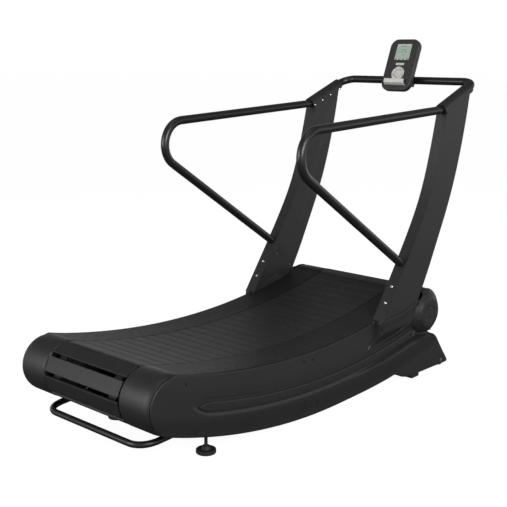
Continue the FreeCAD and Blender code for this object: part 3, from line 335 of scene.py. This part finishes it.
# ---- side covers -------------------------------------------------------------------------------
COVER_X = 385.0
EDGE_ROUND = 5.0
CAP_R = 115.0
REAR_ROUND = 10.0
TOP_R = 3050.0
TOP_CENTRE = (796.9, 3362.7)
LOW_STATION, LOW_Z = 930.0, 24.0
LOW_DROP = REAR_Z - LOW_Z
LOW_R = (LOW_STATION ** 2 + LOW_DROP ** 2 - CAP_R ** 2) / (2 * (LOW_DROP - CAP_R))
LOW_CENTRE = (LOW_STATION, LOW_Z + LOW_R)
TOE = [(1394.0, 59.0), (1424.0, 44.0), (1456.0, 32.0), (1505.0, 23.0), (1585.0, 20.0), (1700.0, 18.0),
       (1824.0, 15.0), (1836.0, 17.0), (1840.0, 26.0), (1834.0, 38.0), (1800.0, 80.0), (1762.0, 130.0),
       (1745.0, 153.0), (1727.0, 172.0), (1703.0, 189.0), (1685.0, 197.0)]
SEAM = [(1222.0, 350.0), (1250.0, 354.0), (1298.0, 355.5), (1378.0, 362.0), (1458.0, 376.0),
        (1533.0, 393.0), (1550.0, 398.0), (1572.0, 410.0)]
CREASE = [(1181.0, 226.0), (1194.0, 240.0), (1217.0, 259.0), (1233.0, 281.0), (1241.0, 301.0),
          (1244.0, 321.0), (1246.0, 345.0), (1247.0, 370.0)]
RIDGE = [(1200.0, 236.0), (1250.0, 243.0), (1314.0, 251.0), (1352.0, 256.0), (1399.0, 266.0),
         (1445.0, 284.0), (1485.0, 306.0), (1520.0, 332.0), (1545.0, 356.0), (1600.0, 400.0)]
RIM = [(1030.0, 128.0), (1137.0, 140.0), (1248.0, 156.0), (1363.0, 177.0), (1452.0, 194.0),
       (1530.0, 206.0), (1583.0, 208.0), (1631.0, 202.0), (1684.0, 198.0), (1692.0, 216.0),
       (1723.0, 202.0), (1760.0, 172.0), (1850.0, 62.0)]
GROOVE_CENTRE = (905.0, 3310.0)
GROOVE_R = 3150.0
GROOVE_UP, GROOVE_DOWN = 38.0, 34.0
GROOVE_REAR, GROOVE_REAR_TAPER = 205.0, 108.0
GROOVE_FRONT, GROOVE_FRONT_TAPER = 1518.0, 40.0
GROOVE_DEPTH = 4.5
POD_X = 425.0
FACE_R = 72.0
DISC_R = 31.0
SCREW_SPOTS = [(68, 364), (118, 159), (735, 281), (792, 279), (745, 85), (830, 85)]
TOE_SCREWS = [(1658, 126), (1744, 33)]
TOE_X = 410.0


def arc_points(centre, radius, a_deg, b_deg, spacing=4.0):
    count = max(2, int(abs(math.radians(b_deg - a_deg)) * radius / spacing))
    return [(centre[0] + radius * math.cos(math.radians(a_deg + (b_deg - a_deg) * i / count)),
             centre[1] + radius * math.sin(math.radians(a_deg + (b_deg - a_deg) * i / count)))
            for i in range(count + 1)]


def smooth_line(points, spacing=4.0):
    """Catmull-Rom curve through the points, sampled evenly enough."""
    dense = []
    ends = [points[0]] + list(points) + [points[-1]]
    for p0, p1, p2, p3 in zip(ends, ends[1:], ends[2:], ends[3:]):
        count = max(1, int(math.dist(p1, p2) / spacing))
        for i in range(count):
            t = i / count
            dense.append(tuple(
                0.5 * (2 * b + (c - a) * t + (2 * a - 5 * b + 4 * c - d) * t ** 2
                       + (3 * b - a - 3 * c + d) * t ** 3)
                for a, b, c, d in zip(p0, p1, p2, p3)))
    dense.append(tuple(points[-1]))
    return dense


def angle_from(centre, point):
    return math.degrees(math.atan2(point[1] - centre[1], point[0] - centre[0]))


def top_height(station):
    return TOP_CENTRE[1] - math.sqrt(TOP_R ** 2 - (station - TOP_CENTRE[0]) ** 2)


def side_outline():
    """Whole outline of the side skin: rear end, top edge, round front, foot cover, low edge."""
    rear = (0.0, REAR_Z)
    front = (FRONT_STATION, FRONT_Z)
    rear_top = angle_from(rear, TOP_CENTRE)
    front_top = angle_from(front, TOP_CENTRE)
    rear_low = angle_from(LOW_CENTRE, rear)
    outline = []
    for point in arc_points(rear, CAP_R, rear_low + 360, rear_top):
        turn = angle_from(rear, point) % 360
        pull = 1.0 - REAR_ROUND / CAP_R * float(step((turn - 75) / 20) * step((255 - turn) / 20))
        outline.append((point[0] * pull, REAR_Z + (point[1] - REAR_Z) * pull))
    station = 30.0
    while station < SEAM[0][0] - 2:
        outline.append((station, top_height(station)))
        station += 6.0
    outline += smooth_line(SEAM)
    outline += [(1585.0, top_height(1585.0)), (1595.0, top_height(1595.0))]
    outline += arc_points(front, CAP_R, front_top, angle_from(front, TOE[-1]))[1:]
    toe = smooth_line(TOE)
    outline += list(reversed(toe))
    low_start = -math.degrees(math.acos((TOE[0][0] - LOW_CENTRE[0]) / LOW_R))
    outline += arc_points(LOW_CENTRE, LOW_R, low_start, rear_low)[1:-1]
    return outline


def groove_place(station, z):
    """Distance above the groove's centre line."""
    return GROOVE_R - np.hypot(station - GROOVE_CENTRE[0], z - GROOVE_CENTRE[1])


def narrowing(station):
    """Share of the groove's full height left towards its pointed rear and its round front."""
    rear = np.clip((GROOVE_REAR - station) / GROOVE_REAR_TAPER, 0.0, 1.0)
    front = np.clip((station - GROOVE_FRONT) / GROOVE_FRONT_TAPER, 0.0, 1.0)
    return np.minimum(1.0 - rear ** 1.7, np.sqrt(1.0 - front ** 2))


def groove_inside(station, z):
    """Depth inside the groove's edge, in millimetres; negative outside."""
    above = groove_place(station, z)
    half = np.where(above > 0, GROOVE_UP, GROOVE_DOWN) * narrowing(station)
    return np.where(half > 0.5, half - np.abs(above), -1.0)


def groove_height(station, above):
    """Height of the point a given distance above the groove's centre line."""
    return GROOVE_CENTRE[1] - math.sqrt((GROOVE_R - above) ** 2 - (station - GROOVE_CENTRE[0]) ** 2)


def groove_line(inset):
    """Closed line a distance inside the groove's edge."""
    spacing = 5.0
    start = GROOVE_REAR - GROOVE_REAR_TAPER + 1.5 * inset + 1
    end = GROOVE_FRONT + GROOVE_FRONT_TAPER - 0.7 * inset - 0.3
    run = list(np.arange(start, GROOVE_FRONT, spacing))
    turn = 14
    run += [GROOVE_FRONT + (end - GROOVE_FRONT) * math.sin(math.pi / 2 * i / turn) for i in range(turn + 1)]
    upper = [(s, groove_height(s, max(GROOVE_UP * float(narrowing(s)) - inset, 0.0))) for s in run]
    lower = [(s, groove_height(s, -max(GROOVE_DOWN * float(narrowing(s)) - inset, 0.0))) for s in run]
    return upper + lower[::-1]


def curve_at(points, station):
    xs, zs = zip(*points)
    return np.interp(station, xs, zs)


def skin_x(station, z, edge, seats=True):
    """Outer surface's side offset; edge is the distance to the skin's outline."""
    groove_mid = GROOVE_CENTRE[1] - np.sqrt(GROOVE_R ** 2 - (station - GROOVE_CENTRE[0]) ** 2)

    # gentle crown: the panel leans in above the groove and below it
    x = COVER_X + 0.6 - 2.2 * step((z - groove_mid - 60) / 90)
    lean = step((groove_mid - GROOVE_DOWN - z) / 95)
    x = x - 9.0 * lean

    # lower panel swells forward into the foot cover, with a rounded upper edge
    rim = curve_at(RIM, station)
    swell = (TOE_X + 0.6 - COVER_X) * step((station - 985) / 520)
    under = step((rim + 3 - z) / 15)
    x = x + swell * under

    # bulge over the upright's foot
    seam = curve_at(SEAM, station)
    ridge = curve_at(RIDGE, station)
    groove_top = groove_mid + GROOVE_UP + 1
    flat_low = np.maximum(302.0, 302.0 + (station - 1452) * 1.42)
    flat_low = np.minimum(flat_low, seam - 4)
    band = COVER_X + 1 + 14 * step((station - 1230) / 300)
    slope = step((z - ridge) / np.maximum(flat_low - ridge, 8))
    pod = band + (POD_X - 4 - band) * slope ** 0.65
    pod = pod + 3.5 * step((z - flat_low) / np.maximum(seam - flat_low, 10))
    band_rise = np.maximum(0.55 * (ridge - groove_top), 6)
    low_band = COVER_X + (band - COVER_X) * step((z - groove_top) / band_rise)
    pod = np.where(z < ridge, low_band, pod)
    rear_wall = np.interp(z, [p[1] for p in CREASE], [p[0] for p in CREASE])
    gate = step((station - rear_wall) / 4.0) * step((z - CREASE[0][1] + 14) / 14)
    gate = gate * step((1622 - station) / 60)
    x = x + (pod - COVER_X) * gate * step((z - groove_top + 2) / 5)

    # crease behind the bulge
    crease = np.exp(-((station - rear_wall + 2.0) / 2.6) ** 2) * step((z - 222) / 15) * step((352 - z) / 12)
    x = x - 4.0 * crease

    # round front: a low cone with a rounded rim
    r = np.hypot(station - FRONT_STATION, z - FRONT_Z)
    cone = COVER_X + (POD_X - 1 - COVER_X) * np.clip((CAP_R + 4 - r) / (CAP_R + 4 - FACE_R), 0, 1) ** 0.85
    cone = cone - 2.0 * step((r - FACE_R + 14) / 28) * (r < FACE_R + 14)
    soft = 5.0
    both = 0.5 * (x + cone + np.sqrt((x - cone) ** 2 + soft ** 2) - soft)
    ahead = step((station - 1535) / 50)
    low_line = (groove_top - 5) * (1 - ahead) + (rim + 10) * ahead
    housing = step((CAP_R + 12 - r) / 12) * step((z - low_line + 13) / 20)
    x = x + housing * (np.maximum(x, both) - x)
    x = x - 1.3 * np.exp(-((r - DISC_R) / 3.4) ** 2)

    # shadow step between the round front and the foot cover
    notch = np.exp(-((z - rim - 9) / 5.0) ** 2) * step((station - 1548) / 30) * step((1700 - station) / 20)
    x = x - 9.0 * notch

    # groove for the trim strip
    inside = groove_inside(station, z)
    above = groove_place(station, z)
    wall = 2.6 + 8.5 * step((10 - above) / 30)
    x = x - GROOVE_DEPTH * step(inside / wall)

    # flat seats for the screws
    if seats:
        for spot in SCREW_SPOTS + TOE_SCREWS:
            seat = np.exp(-(np.hypot(station - spot[0], z - spot[1]) / 11.0) ** 4)
            x = x * (1 - seat) + seat_x(spot) * seat

    # rounded outer edge
    inset = np.clip(edge / EDGE_ROUND, 0, 1)
    drop = 1 - np.sqrt(1 - (1 - inset) ** 2)
    return x - drop * EDGE_ROUND * 0.8


def seat_x(spot):
    """Side offset of the flat seat under a screw head."""
    deep_inside = 50.0
    return float(skin_x(np.array([spot[0]]), np.array([spot[1]]), np.array([deep_inside]), seats=False)[0])


def distance_to(points, line):
    """Shortest distance from each point to a closed polyline."""
    a = np.array(line)
    b = np.roll(a, -1, axis=0)
    best = np.full(len(points), 1e9)
    chunk = 400
    for start in range(0, len(a), chunk):
        pa, pb = a[start:start + chunk], b[start:start + chunk]
        run = pb - pa
        length = np.maximum((run ** 2).sum(1), 1e-9)
        for at in range(0, len(points), 2000):
            p = points[at:at + 2000]
            t = ((p[:, None, :] - pa[None]) * run[None]).sum(2) / length[None]
            t = np.clip(t, 0, 1)[..., None]
            d = np.hypot(*np.moveaxis(p[:, None, :] - pa[None] - t * run[None], 2, 0)).min(1)
            best[at:at + 2000] = np.minimum(best[at:at + 2000], d)
    return best


def inside_outline(points, line):
    a = np.array(line)
    b = np.roll(a, -1, axis=0)
    x, z = points[:, 0], points[:, 1]
    odd = np.zeros(len(points), bool)
    for (ax, az), (bx, bz) in zip(a, b):
        if az == bz:
            continue
        crosses = (az > z) != (bz > z)
        odd ^= crosses & (x < (bx - ax) * (z - az) / (bz - az) + ax)
    return odd


def side_sheet():
    """Points and triangles of the side skin in its own plane, with each point's edge distance."""
    outline = side_outline()
    cell = 6.0
    lines = [groove_line(0.0), groove_line(2.6), groove_line(11.0)]
    lines.append(smooth_line([(p[0] - 0.5, p[1]) for p in CREASE[:-1]]))
    lines.append(smooth_line([(p[0] + 5.5, p[1]) for p in CREASE[:-1]]))
    lines.append(smooth_line(RIDGE[1:-2]))
    rim = smooth_line(RIM[:-4])
    for shift in (-12.0, -8.0, -4.0, 0.0, 3.0):
        lines.append([(s, z + shift) for s, z in rim])
    for r in (8.0, 16.0, 22.0, 27.0, 31.0, 35.0, 41.0, 48.0, 54.0, 60.0, 66.0, 72.0, 79.0, 86.0, 94.0, 103.0):
        lines.append(arc_points((FRONT_STATION, FRONT_Z), r, 0, 360, 5.0))
    kept = []
    grid = {}

    def near(point, gap):
        i, j = int(point[0] // 8), int(point[1] // 8)
        for di in (-1, 0, 1):
            for dj in (-1, 0, 1):
                for other in grid.get((i + di, j + dj), ()):
                    if math.dist(point, other) < gap:
                        return True
        return False

    def keep(point):
        grid.setdefault((int(point[0] // 8), int(point[1] // 8)), []).append(point)
        kept.append(point)

    for point in outline:
        keep(point)
    count = len(outline)
    inner = []
    for depth in (1.2, 3.0, 5.5):
        a = np.array(outline)
        run = np.roll(a, -1, axis=0) - np.roll(a, 1, axis=0)
        run /= np.maximum(np.hypot(run[:, 0], run[:, 1])[:, None], 1e-9)
        inner.append([tuple(p) for p in a + depth * np.stack([run[:, 1], -run[:, 0]], 1)])
    for line in inner + lines:
        for point in line:
            if not near(point, 1.1):
                keep(point)
    station = -CAP_R
    row = 0
    while station < 1845:
        z = 12.0 + (row % 2) * 0.5 * cell
        while z < 430:
            if not near((station, z), 0.55 * cell):
                keep((station, z))
            z += cell
        station += 0.87 * cell
        row += 1
    points = np.array(kept)
    fine = inside_outline(points, outline)
    edge = distance_to(points, outline)
    fine &= edge > 0.8
    fine[:count] = True
    order = list(range(count)) + [i for i in range(count, len(points)) if fine[i]]
    flat = points[order]
    ring = [list(range(count))]
    result = delaunay_2d_cdt([Vector(p) for p in flat.tolist()], [], ring, 1, 1e-4)
    spots = np.array([tuple(v) for v in result[0]])
    return spots, [list(f) for f in result[2]], distance_to(spots, outline)


def make_side_skins(materials):
    spots, faces, edge = side_sheet()
    x = skin_x(spots[:, 0], spots[:, 1], edge)
    for side, sign in SIDES:
        verts = [place(sign * a, s, z) for a, (s, z) in zip(x, spots)]
        turned = facing(verts, faces, Vector((sign, 0, 0)))
        add_piece("side_skin_" + side, verts, turned, materials["cover_plastic"],
                  ("side_cover_" + side,), thickness=3.0, smooth=35)


STRIP_UP, STRIP_DOWN = 21.0, 19.0
STRIP_FACE = 386.5
STRIP_REAR, STRIP_REAR_TAPER = 215.0, 80.0
STRIP_FRONT, STRIP_FRONT_TAPER = 1520.0, 22.0


def make_strip_skins(materials):
    """Crowned trim strips: cross-sections along the groove, tapered at both ends."""
    stations = []
    turn = 14
    for i in range(turn):
        stations.append(STRIP_REAR - STRIP_REAR_TAPER * math.cos(math.pi / 2 * i / turn))
    run = 180
    for i in range(run + 1):
        stations.append(STRIP_REAR + (STRIP_FRONT - STRIP_REAR) * i / run)
    for i in range(1, turn + 1):
        stations.append(STRIP_FRONT + STRIP_FRONT_TAPER * math.sin(math.pi / 2 * i / turn))
    across = (-1.0, -0.97, -0.9, -0.75, -0.45, 0.0, 0.45, 0.75, 0.9, 0.97, 1.0)
    lift = (3.2, 1.3, 0.55, 0.2, 0.03, 0.0, 0.03, 0.2, 0.55, 1.3, 3.2)
    verts = []
    faces = []
    for _, sign in SIDES:
        base = len(verts)
        for s in stations:
            past = max((STRIP_REAR - s) / STRIP_REAR_TAPER, (s - STRIP_FRONT) / STRIP_FRONT_TAPER, 0.0)
            narrow = math.sqrt(max(1 - past ** 2, 0.0004))
            for q, down in zip(across, lift):
                above = q * narrow * (STRIP_UP if q > 0 else STRIP_DOWN)
                verts.append(place(sign * (STRIP_FACE - down), s, groove_height(s, above)))
        wide = len(across)
        for i in range(len(stations) - 1):
            for j in range(wide - 1):
                a = base + i * wide + j
                face = [a, a + 1, a + wide + 1, a + wide]
                faces += facing(verts, [face], Vector((sign, 0, 0)))
    add_piece("strip_skins", verts, faces, materials["strip_plastic"], ("cover_strips",),
              thickness=1.0, smooth=50)


TOE_IN_X = 350.0
TOE_WALL = 3.0


def make_foot_cover_skins(materials):
    """Return walls of the foot covers: from the side skin's edge inwards, round the toe."""
    toe = smooth_line(TOE, 6.0)
    a = np.array(toe)
    edge_x = skin_x(a[:, 0], a[:, 1], np.zeros(len(a)))
    rows = ((0.0, 0.25), (2.5, 0.25), (8.0, 0.4), (20.0, 0.6), (None, 0.8))
    run = np.gradient(a, axis=0)
    run /= np.hypot(run[:, 0], run[:, 1])[:, None]
    normal = np.stack([run[:, 1], -run[:, 0]], 1)
    verts = []
    faces = []
    for _, sign in SIDES:
        base = len(verts)
        for back, inset in rows:
            for (s, z), (ns, nz), edge in zip(toe, normal, edge_x):
                x = TOE_IN_X if back is None else edge - back
                verts.append(place(sign * x, s - ns * inset, z - nz * inset))
        wide = len(toe)
        for i in range(len(rows) - 1):
            for j in range(wide - 1):
                corner = base + i * wide + j
                face = [corner, corner + 1, corner + wide + 1, corner + wide]
                out = Vector((0, normal[j][0], normal[j][1]))
                faces += facing(verts, [face], out)
    add_piece("foot_cover_skins", verts, faces, materials["cover_plastic"],
              ("foot_covers",), thickness=TOE_WALL, smooth=50)


# ---- roller caps -------------------------------------------------------------------------------
CAP_PROFILE = [(226.5, 20.0), (222.5, 20.0), (222.5, 106.0), (223.2, 109.5), (225.2, 112.6), (228.5, 114.5),
               (233.0, 115.0), (347.0, 115.0), (355.0, 114.7), (362.0, 113.9), (368.0, 112.6),
               (373.5, 110.8), (377.5, 108.8), (380.3, 106.6), (378.5, 104.5), (372.0, 107.4),
               (362.0, 110.0), (347.0, 111.0), (228.5, 111.0), (226.5, 108.5)]
CAP_ARCS = (("rear_caps", 0.0, REAR_Z, 72.0, 249.0), ("front_caps", FRONT_STATION, FRONT_Z, 107.5, -64.0))


def make_cap_skins(materials):
    for node, station, height, start, end in CAP_ARCS:
        verts = []
        faces = []
        turns = 60
        for _, sign in SIDES:
            base = len(verts)
            for i in range(turns + 1):
                t = math.radians(start + (end - start) * i / turns)
                for x, r in CAP_PROFILE:
                    verts.append(place(sign * x, station + r * math.cos(t), height + r * math.sin(t)))
            wide = len(CAP_PROFILE)
            flip = (sign > 0) == (end > start)
            for i in range(turns):
                for j in range(wide):
                    k = (j + 1) % wide
                    face = [base + i * wide + j, base + i * wide + k,
                            base + (i + 1) * wide + k, base + (i + 1) * wide + j]
                    faces.append(face if flip else face[::-1])
            first = [base + j for j in range(wide)]
            last = [base + turns * wide + j for j in range(wide)]
            faces.append(first[::-1] if flip else first)
            faces.append(last if flip else last[::-1])
            # the rest of the closing disc on the belt's side
            rest = 40
            base = len(verts)
            sweep = (start + 360 - end) if end > start else (start - 360 - end)
            disc = ((226.5, 20.0), (222.5, 20.0), (222.5, 108.0), (226.5, 108.0))
            for i in range(rest + 1):
                t = math.radians(end + sweep * i / rest)
                for x, r in disc:
                    verts.append(place(sign * x, station + r * math.cos(t), height + r * math.sin(t)))
            for i in range(rest):
                for j in range(4):
                    k = (j + 1) % 4
                    face = [base + i * 4 + j, base + i * 4 + k,
                            base + (i + 1) * 4 + k, base + (i + 1) * 4 + j]
                    faces.append(face if flip else face[::-1])
        add_piece(node[:-5] + "_cap_skins", verts, faces, materials["cover_plastic"],
                  (node,), smooth=40)


# ---- grip pads ---------------------------------------------------------------------------------
GRIP_ENDS = (285.0, 1090.0)
GRIP_SIDES = (236.0, 364.0)
STUD_PITCH = 8.0


def make_grip_skins(materials):
    """Pads of raised diamonds along the foot rails; they lie 5 mm below the CAD pads, inside the rails."""
    half = 0.5 * STUD_PITCH
    rows = int((GRIP_ENDS[1] - GRIP_ENDS[0]) / half)
    columns = int((GRIP_SIDES[1] - GRIP_SIDES[0]) / half)
    verts = []
    faces = []
    for _, sign in SIDES:
        base = len(verts)
        for i in range(rows + 1):
            s = GRIP_ENDS[0] + (GRIP_ENDS[1] - GRIP_ENDS[0]) * i / rows
            for j in range(columns + 1):
                x = GRIP_SIDES[0] + (GRIP_SIDES[1] - GRIP_SIDES[0]) * j / columns
                border = i in (0, rows) or j in (0, columns)
                stud = (i + j) % 2 == 0
                lift = 0.1 if border else (1.5 if stud else 0.55)
                verts.append(place(sign * x, s, rail_top(s) + lift))
        wide = columns + 1
        for i in range(rows):
            for j in range(columns):
                a = base + i * wide + j
                quad = [a, a + 1, a + wide + 1, a + wide]
                cut = [[quad[0], quad[1], quad[2]], [quad[0], quad[2], quad[3]]]
                if (i + j) % 2 == 0:
                    cut = [[quad[0], quad[1], quad[3]], [quad[1], quad[2], quad[3]]]
                faces += facing(verts, cut, Vector((0, 0, 1)))
    add_piece("grip_skins", verts, faces, materials["grip_rubber"], ("grip_pads",),
              thickness=0.0, smooth=80)


def fit_rail_circle():
    """Circle fitted to the foot rail's own mesh, 5 mm below its upper surface: centre and radius."""
    top = {}
    for y, z in sorted((v.co.y, v.co.z) for v in NODES["foot_rail_right"].data.vertices):
        key = round((y - REAR_Y) / MM)
        top[key] = max(top.get(key, 0.0), z / MM)
    points = sorted(top.items())
    a = np.array([[s, z, 1.0] for s, z in points])
    b = np.array([s * s + z * z for s, z in points])
    solved = np.linalg.lstsq(a, b, rcond=None)[0]
    s0, z0 = solved[0] / 2, solved[1] / 2
    return s0, z0, math.sqrt(solved[2] + s0 ** 2 + z0 ** 2)


RAIL_CIRCLE = fit_rail_circle()


def rail_top(station):
    centre_station, centre_z, radius = RAIL_CIRCLE
    return centre_z - math.sqrt(radius ** 2 - (station - centre_station) ** 2)


# ---- screw heads and lift handle ----------------------------------------------------------------
HEAD = ((0.0, -1.4), (2.0, -1.4), (2.2, 0.2), (4.8, 0.5), (5.6, 0.1), (5.6, -2.5))
STRIP_SCREW = 1524.0


def make_screw_skins(materials):
    """Round screw heads with a sunk drive, nine on each cover; the CAD node has eleven on each."""
    spots = [(s, z, seat_x((s, z))) for s, z in SCREW_SPOTS + TOE_SCREWS]
    spots.append((STRIP_SCREW, groove_height(STRIP_SCREW, 0.0), STRIP_FACE))
    turn = 20
    verts = []
    faces = []
    for _, sign in SIDES:
        for s, z, x in spots:
            base = len(verts)
            for r, out in HEAD:
                for i in range(turn):
                    t = 2 * math.pi * i / turn
                    verts.append(place(sign * (x + out), s + r * math.cos(t), z + r * math.sin(t)))
            for k in range(1, len(HEAD) - 1):
                for i in range(turn):
                    j = (i + 1) % turn
                    faces.append([base + k * turn + i, base + (k + 1) * turn + i,
                                  base + (k + 1) * turn + j, base + k * turn + j][::int(sign)])
            faces.append([base + turn + i for i in range(turn)][::int(sign)])
    add_piece("cover_screw_skins", verts, faces, materials["black_screw"],
              ("cover_screws",), smooth=40)


LIFT_R = 13.0
LIFT_PATH = ((297.0, 208.0, 146.0), (295.0, 110.0, 146.0), (291.0, -68.0, 135.5))
LIFT_BEND = 72.0


def make_lift_skin(materials):
    """Bent lift handle; its rear bar is 16 mm forward of the CAD handle's and 10.5 mm lower."""
    (x0, s0, z0), (x1, s1, z1), (x2, s2, z2) = LIFT_PATH
    half = [(x0, s0, z0), (x1, s1, z1)]
    share = (s2 + LIFT_BEND - s1) / (s2 - s1)
    half.append((x1 + (x2 - x1) * share, s2 + LIFT_BEND, z1 + (z2 - z1) * share))
    turn = 14
    for i in range(1, turn + 1):
        t = math.pi / 2 * i / turn
        half.append((x2 - LIFT_BEND * (1 - math.cos(t)), s2 + LIFT_BEND * (1 - math.sin(t)),
                     z2 + (half[2][2] - z2) * (1 - math.sin(t))))
    path = half + [(-x, s, z) for x, s, z in reversed(half)]
    spots = [place(*p) for p in path]
    ring = 20
    verts = []
    faces = []
    for i, spot in enumerate(spots):
        along = (spots[min(i + 1, len(spots) - 1)] - spots[max(i - 1, 0)]).normalized()
        across = along.cross(Vector((0, 0, 1))).normalized()
        up = across.cross(along)
        for k in range(ring):
            t = 2 * math.pi * k / ring
            verts.append(spot + LIFT_R * MM * (across * math.cos(t) + up * math.sin(t)))
    for i in range(len(spots) - 1):
        for k in range(ring):
            m = (k + 1) % ring
            faces.append([i * ring + k, i * ring + m, (i + 1) * ring + m, (i + 1) * ring + k])
    last = (len(spots) - 1) * ring
    faces.append(list(reversed(range(ring))))
    faces.append([last + k for k in range(ring)])
    add_piece("lift_handle_skin", verts, faces, materials["tube_paint"], ("lift_handle",),
              smooth=50)


# ---- softened edges ----------------------------------------------------------------------------
SOFTENED = (("belt_slats", 3.0, "slat_rubber"), ("upright_right", 2.5, "frame_paint"),
            ("upright_left", 2.5, "frame_paint"), ("foot_rail_right", 1.5, "cover_plastic"),
            ("foot_rail_left", 1.5, "cover_plastic"), ("console_front", 1.2, "console_plastic"))


def make_softened():
    """Copies of sharp-edged pieces with a bevel, which takes off 0.3 mm at most."""
    for node, width, slot in SOFTENED:
        source = NODES[node]
        mesh = source.data.copy()
        mesh.name = node + "_soft"
        work = bmesh.new()
        work.from_mesh(mesh)
        bmesh.ops.remove_doubles(work, verts=work.verts, dist=2e-6)
        bmesh.ops.dissolve_limit(work, angle_limit=math.radians(1.0), verts=work.verts, edges=work.edges)
        work.to_mesh(mesh)
        work.free()
        piece = bpy.data.objects.new(node + "_soft", mesh)
        piece.matrix_world = source.matrix_world.copy()
        bpy.context.scene.collection.objects.link(piece)
        bevel = piece.modifiers.new("edges", "BEVEL")
        bevel.width = width * MM
        bevel.segments = 2
        bevel.limit_method = "ANGLE"
        bevel.angle_limit = math.radians(50)
        bevel.use_clamp_overlap = True
        mesh.shade_smooth()
        mesh.set_sharp_from_angle(angle=math.radians(40))
        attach(piece, "frame")
        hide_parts(node)


# ---- console -----------------------------------------------------------------------------------
FACE_STATION, FACE_Z = 1940.4, 1465.3
LEAN = math.radians(22.2)


def on_face(x, y, z):
    """Point given on the console's face: across, up the face, and towards the runner, in mm."""
    tilt = math.pi / 2 - LEAN
    return place(x, FACE_STATION + y * math.cos(tilt) - z * math.sin(tilt),
                 FACE_Z + y * math.sin(tilt) + z * math.cos(tilt))


def face_plates(name, plates, material, level, tall):
    """Thin printed plates on the console: each is (x, y, width, height, corner)."""
    verts = []
    faces = []
    for cx, cy, wide, high, corner in plates:
        loop = []
        for qx, qy, start in ((1, 1, 0), (-1, 1, 90), (-1, -1, 180), (1, -1, 270)):
            for i in range(4):
                t = math.radians(start + 30 * i)
                loop.append((cx + qx * (wide / 2 - corner) + corner * math.cos(t),
                             cy + qy * (high / 2 - corner) + corner * math.sin(t)))
        base = len(verts)
        count = len(loop)
        verts += [on_face(x, y, level) for x, y in loop]
        verts += [on_face(x, y, level + tall) for x, y in loop]
        faces.append([base + count + i for i in range(count)])
        faces.append([base + i for i in reversed(range(count))])
        for i in range(count):
            j = (i + 1) % count
            faces.append([base + i, base + j, base + count + j, base + count + i])
    return add_piece(name, verts, faces, material, smooth=30)


DIGITS = {"0": "abcdef", "1": "bc", "2": "abged", "3": "abgcd", "5": "afgcd", "7": "abc", "8": "abcdefg"}


def digit_plates(text, x, y, wide, high, thick):
    """Seven-segment figures, left to right."""
    plates = []
    for index, figure in enumerate(text):
        cx = x + index * (wide + 2.2 * thick)
        spots = {
            "a": (cx, y + high / 2, wide - thick, thick), "d": (cx, y - high / 2, wide - thick, thick),
            "g": (cx, y, wide - thick, thick),
            "b": (cx + wide / 2, y + high / 4, thick, high / 2 - thick),
            "c": (cx + wide / 2, y - high / 4, thick, high / 2 - thick),
            "f": (cx - wide / 2, y + high / 4, thick, high / 2 - thick),
            "e": (cx - wide / 2, y - high / 4, thick, high / 2 - thick),
        }
        for mark in DIGITS[figure]:
            px, py, w, h = spots[mark]
            plates.append((px, py, w, h, 0.3 * thick))
    return plates


def make_display(materials):
    cy = 66.5
    level = -1.19
    thin = 0.12
    bar = [(0, cy - 37.2, 84, 10.2, 1.0)]
    face_plates("display_bar_print", bar, materials["display_bar"], level, thin)
    dots = [(-24, cy - 37.2, 7.5, 5.5, 1.5), (-2, cy - 37.2, 7.5, 5.5, 1.5), (20, cy - 37.2, 7.5, 5.5, 1.5)]
    dots += [(x, cy + 37.5, 9, 2.2, 0.8) for x in (-30, 30)]
    face_plates("display_pale_print", dots, materials["display_pale"], level + thin, thin)
    ink = digit_plates("025", -17, cy + 4, 11, 17, 2.2)
    ink += digit_plates("130", -10, cy - 17, 6, 8, 1.2)
    ink += [(-2, cy + 28.5, 34, 3.0, 0.8), (-34, cy + 2, 1.6, 44, 0.6), (34, cy + 2, 1.6, 44, 0.6),
            (0, cy + 21.5, 66, 1.0, 0.4), (0, cy - 26.5, 66, 1.0, 0.4)]
    face_plates("display_ink_print", ink, materials["display_ink"], level, thin)


def build():
    materials = make_materials()
    paint_nodes(materials)
    add_camera()
    add_world()
    add_stage()
    for lamp in LAMPS:
        add_lamp(*lamp)
    make_side_skins(materials)
    make_strip_skins(materials)
    make_foot_cover_skins(materials)
    make_cap_skins(materials)
    make_grip_skins(materials)
    make_display(materials)
    make_screw_skins(materials)
    make_lift_skin(materials)
    make_softened()


build()
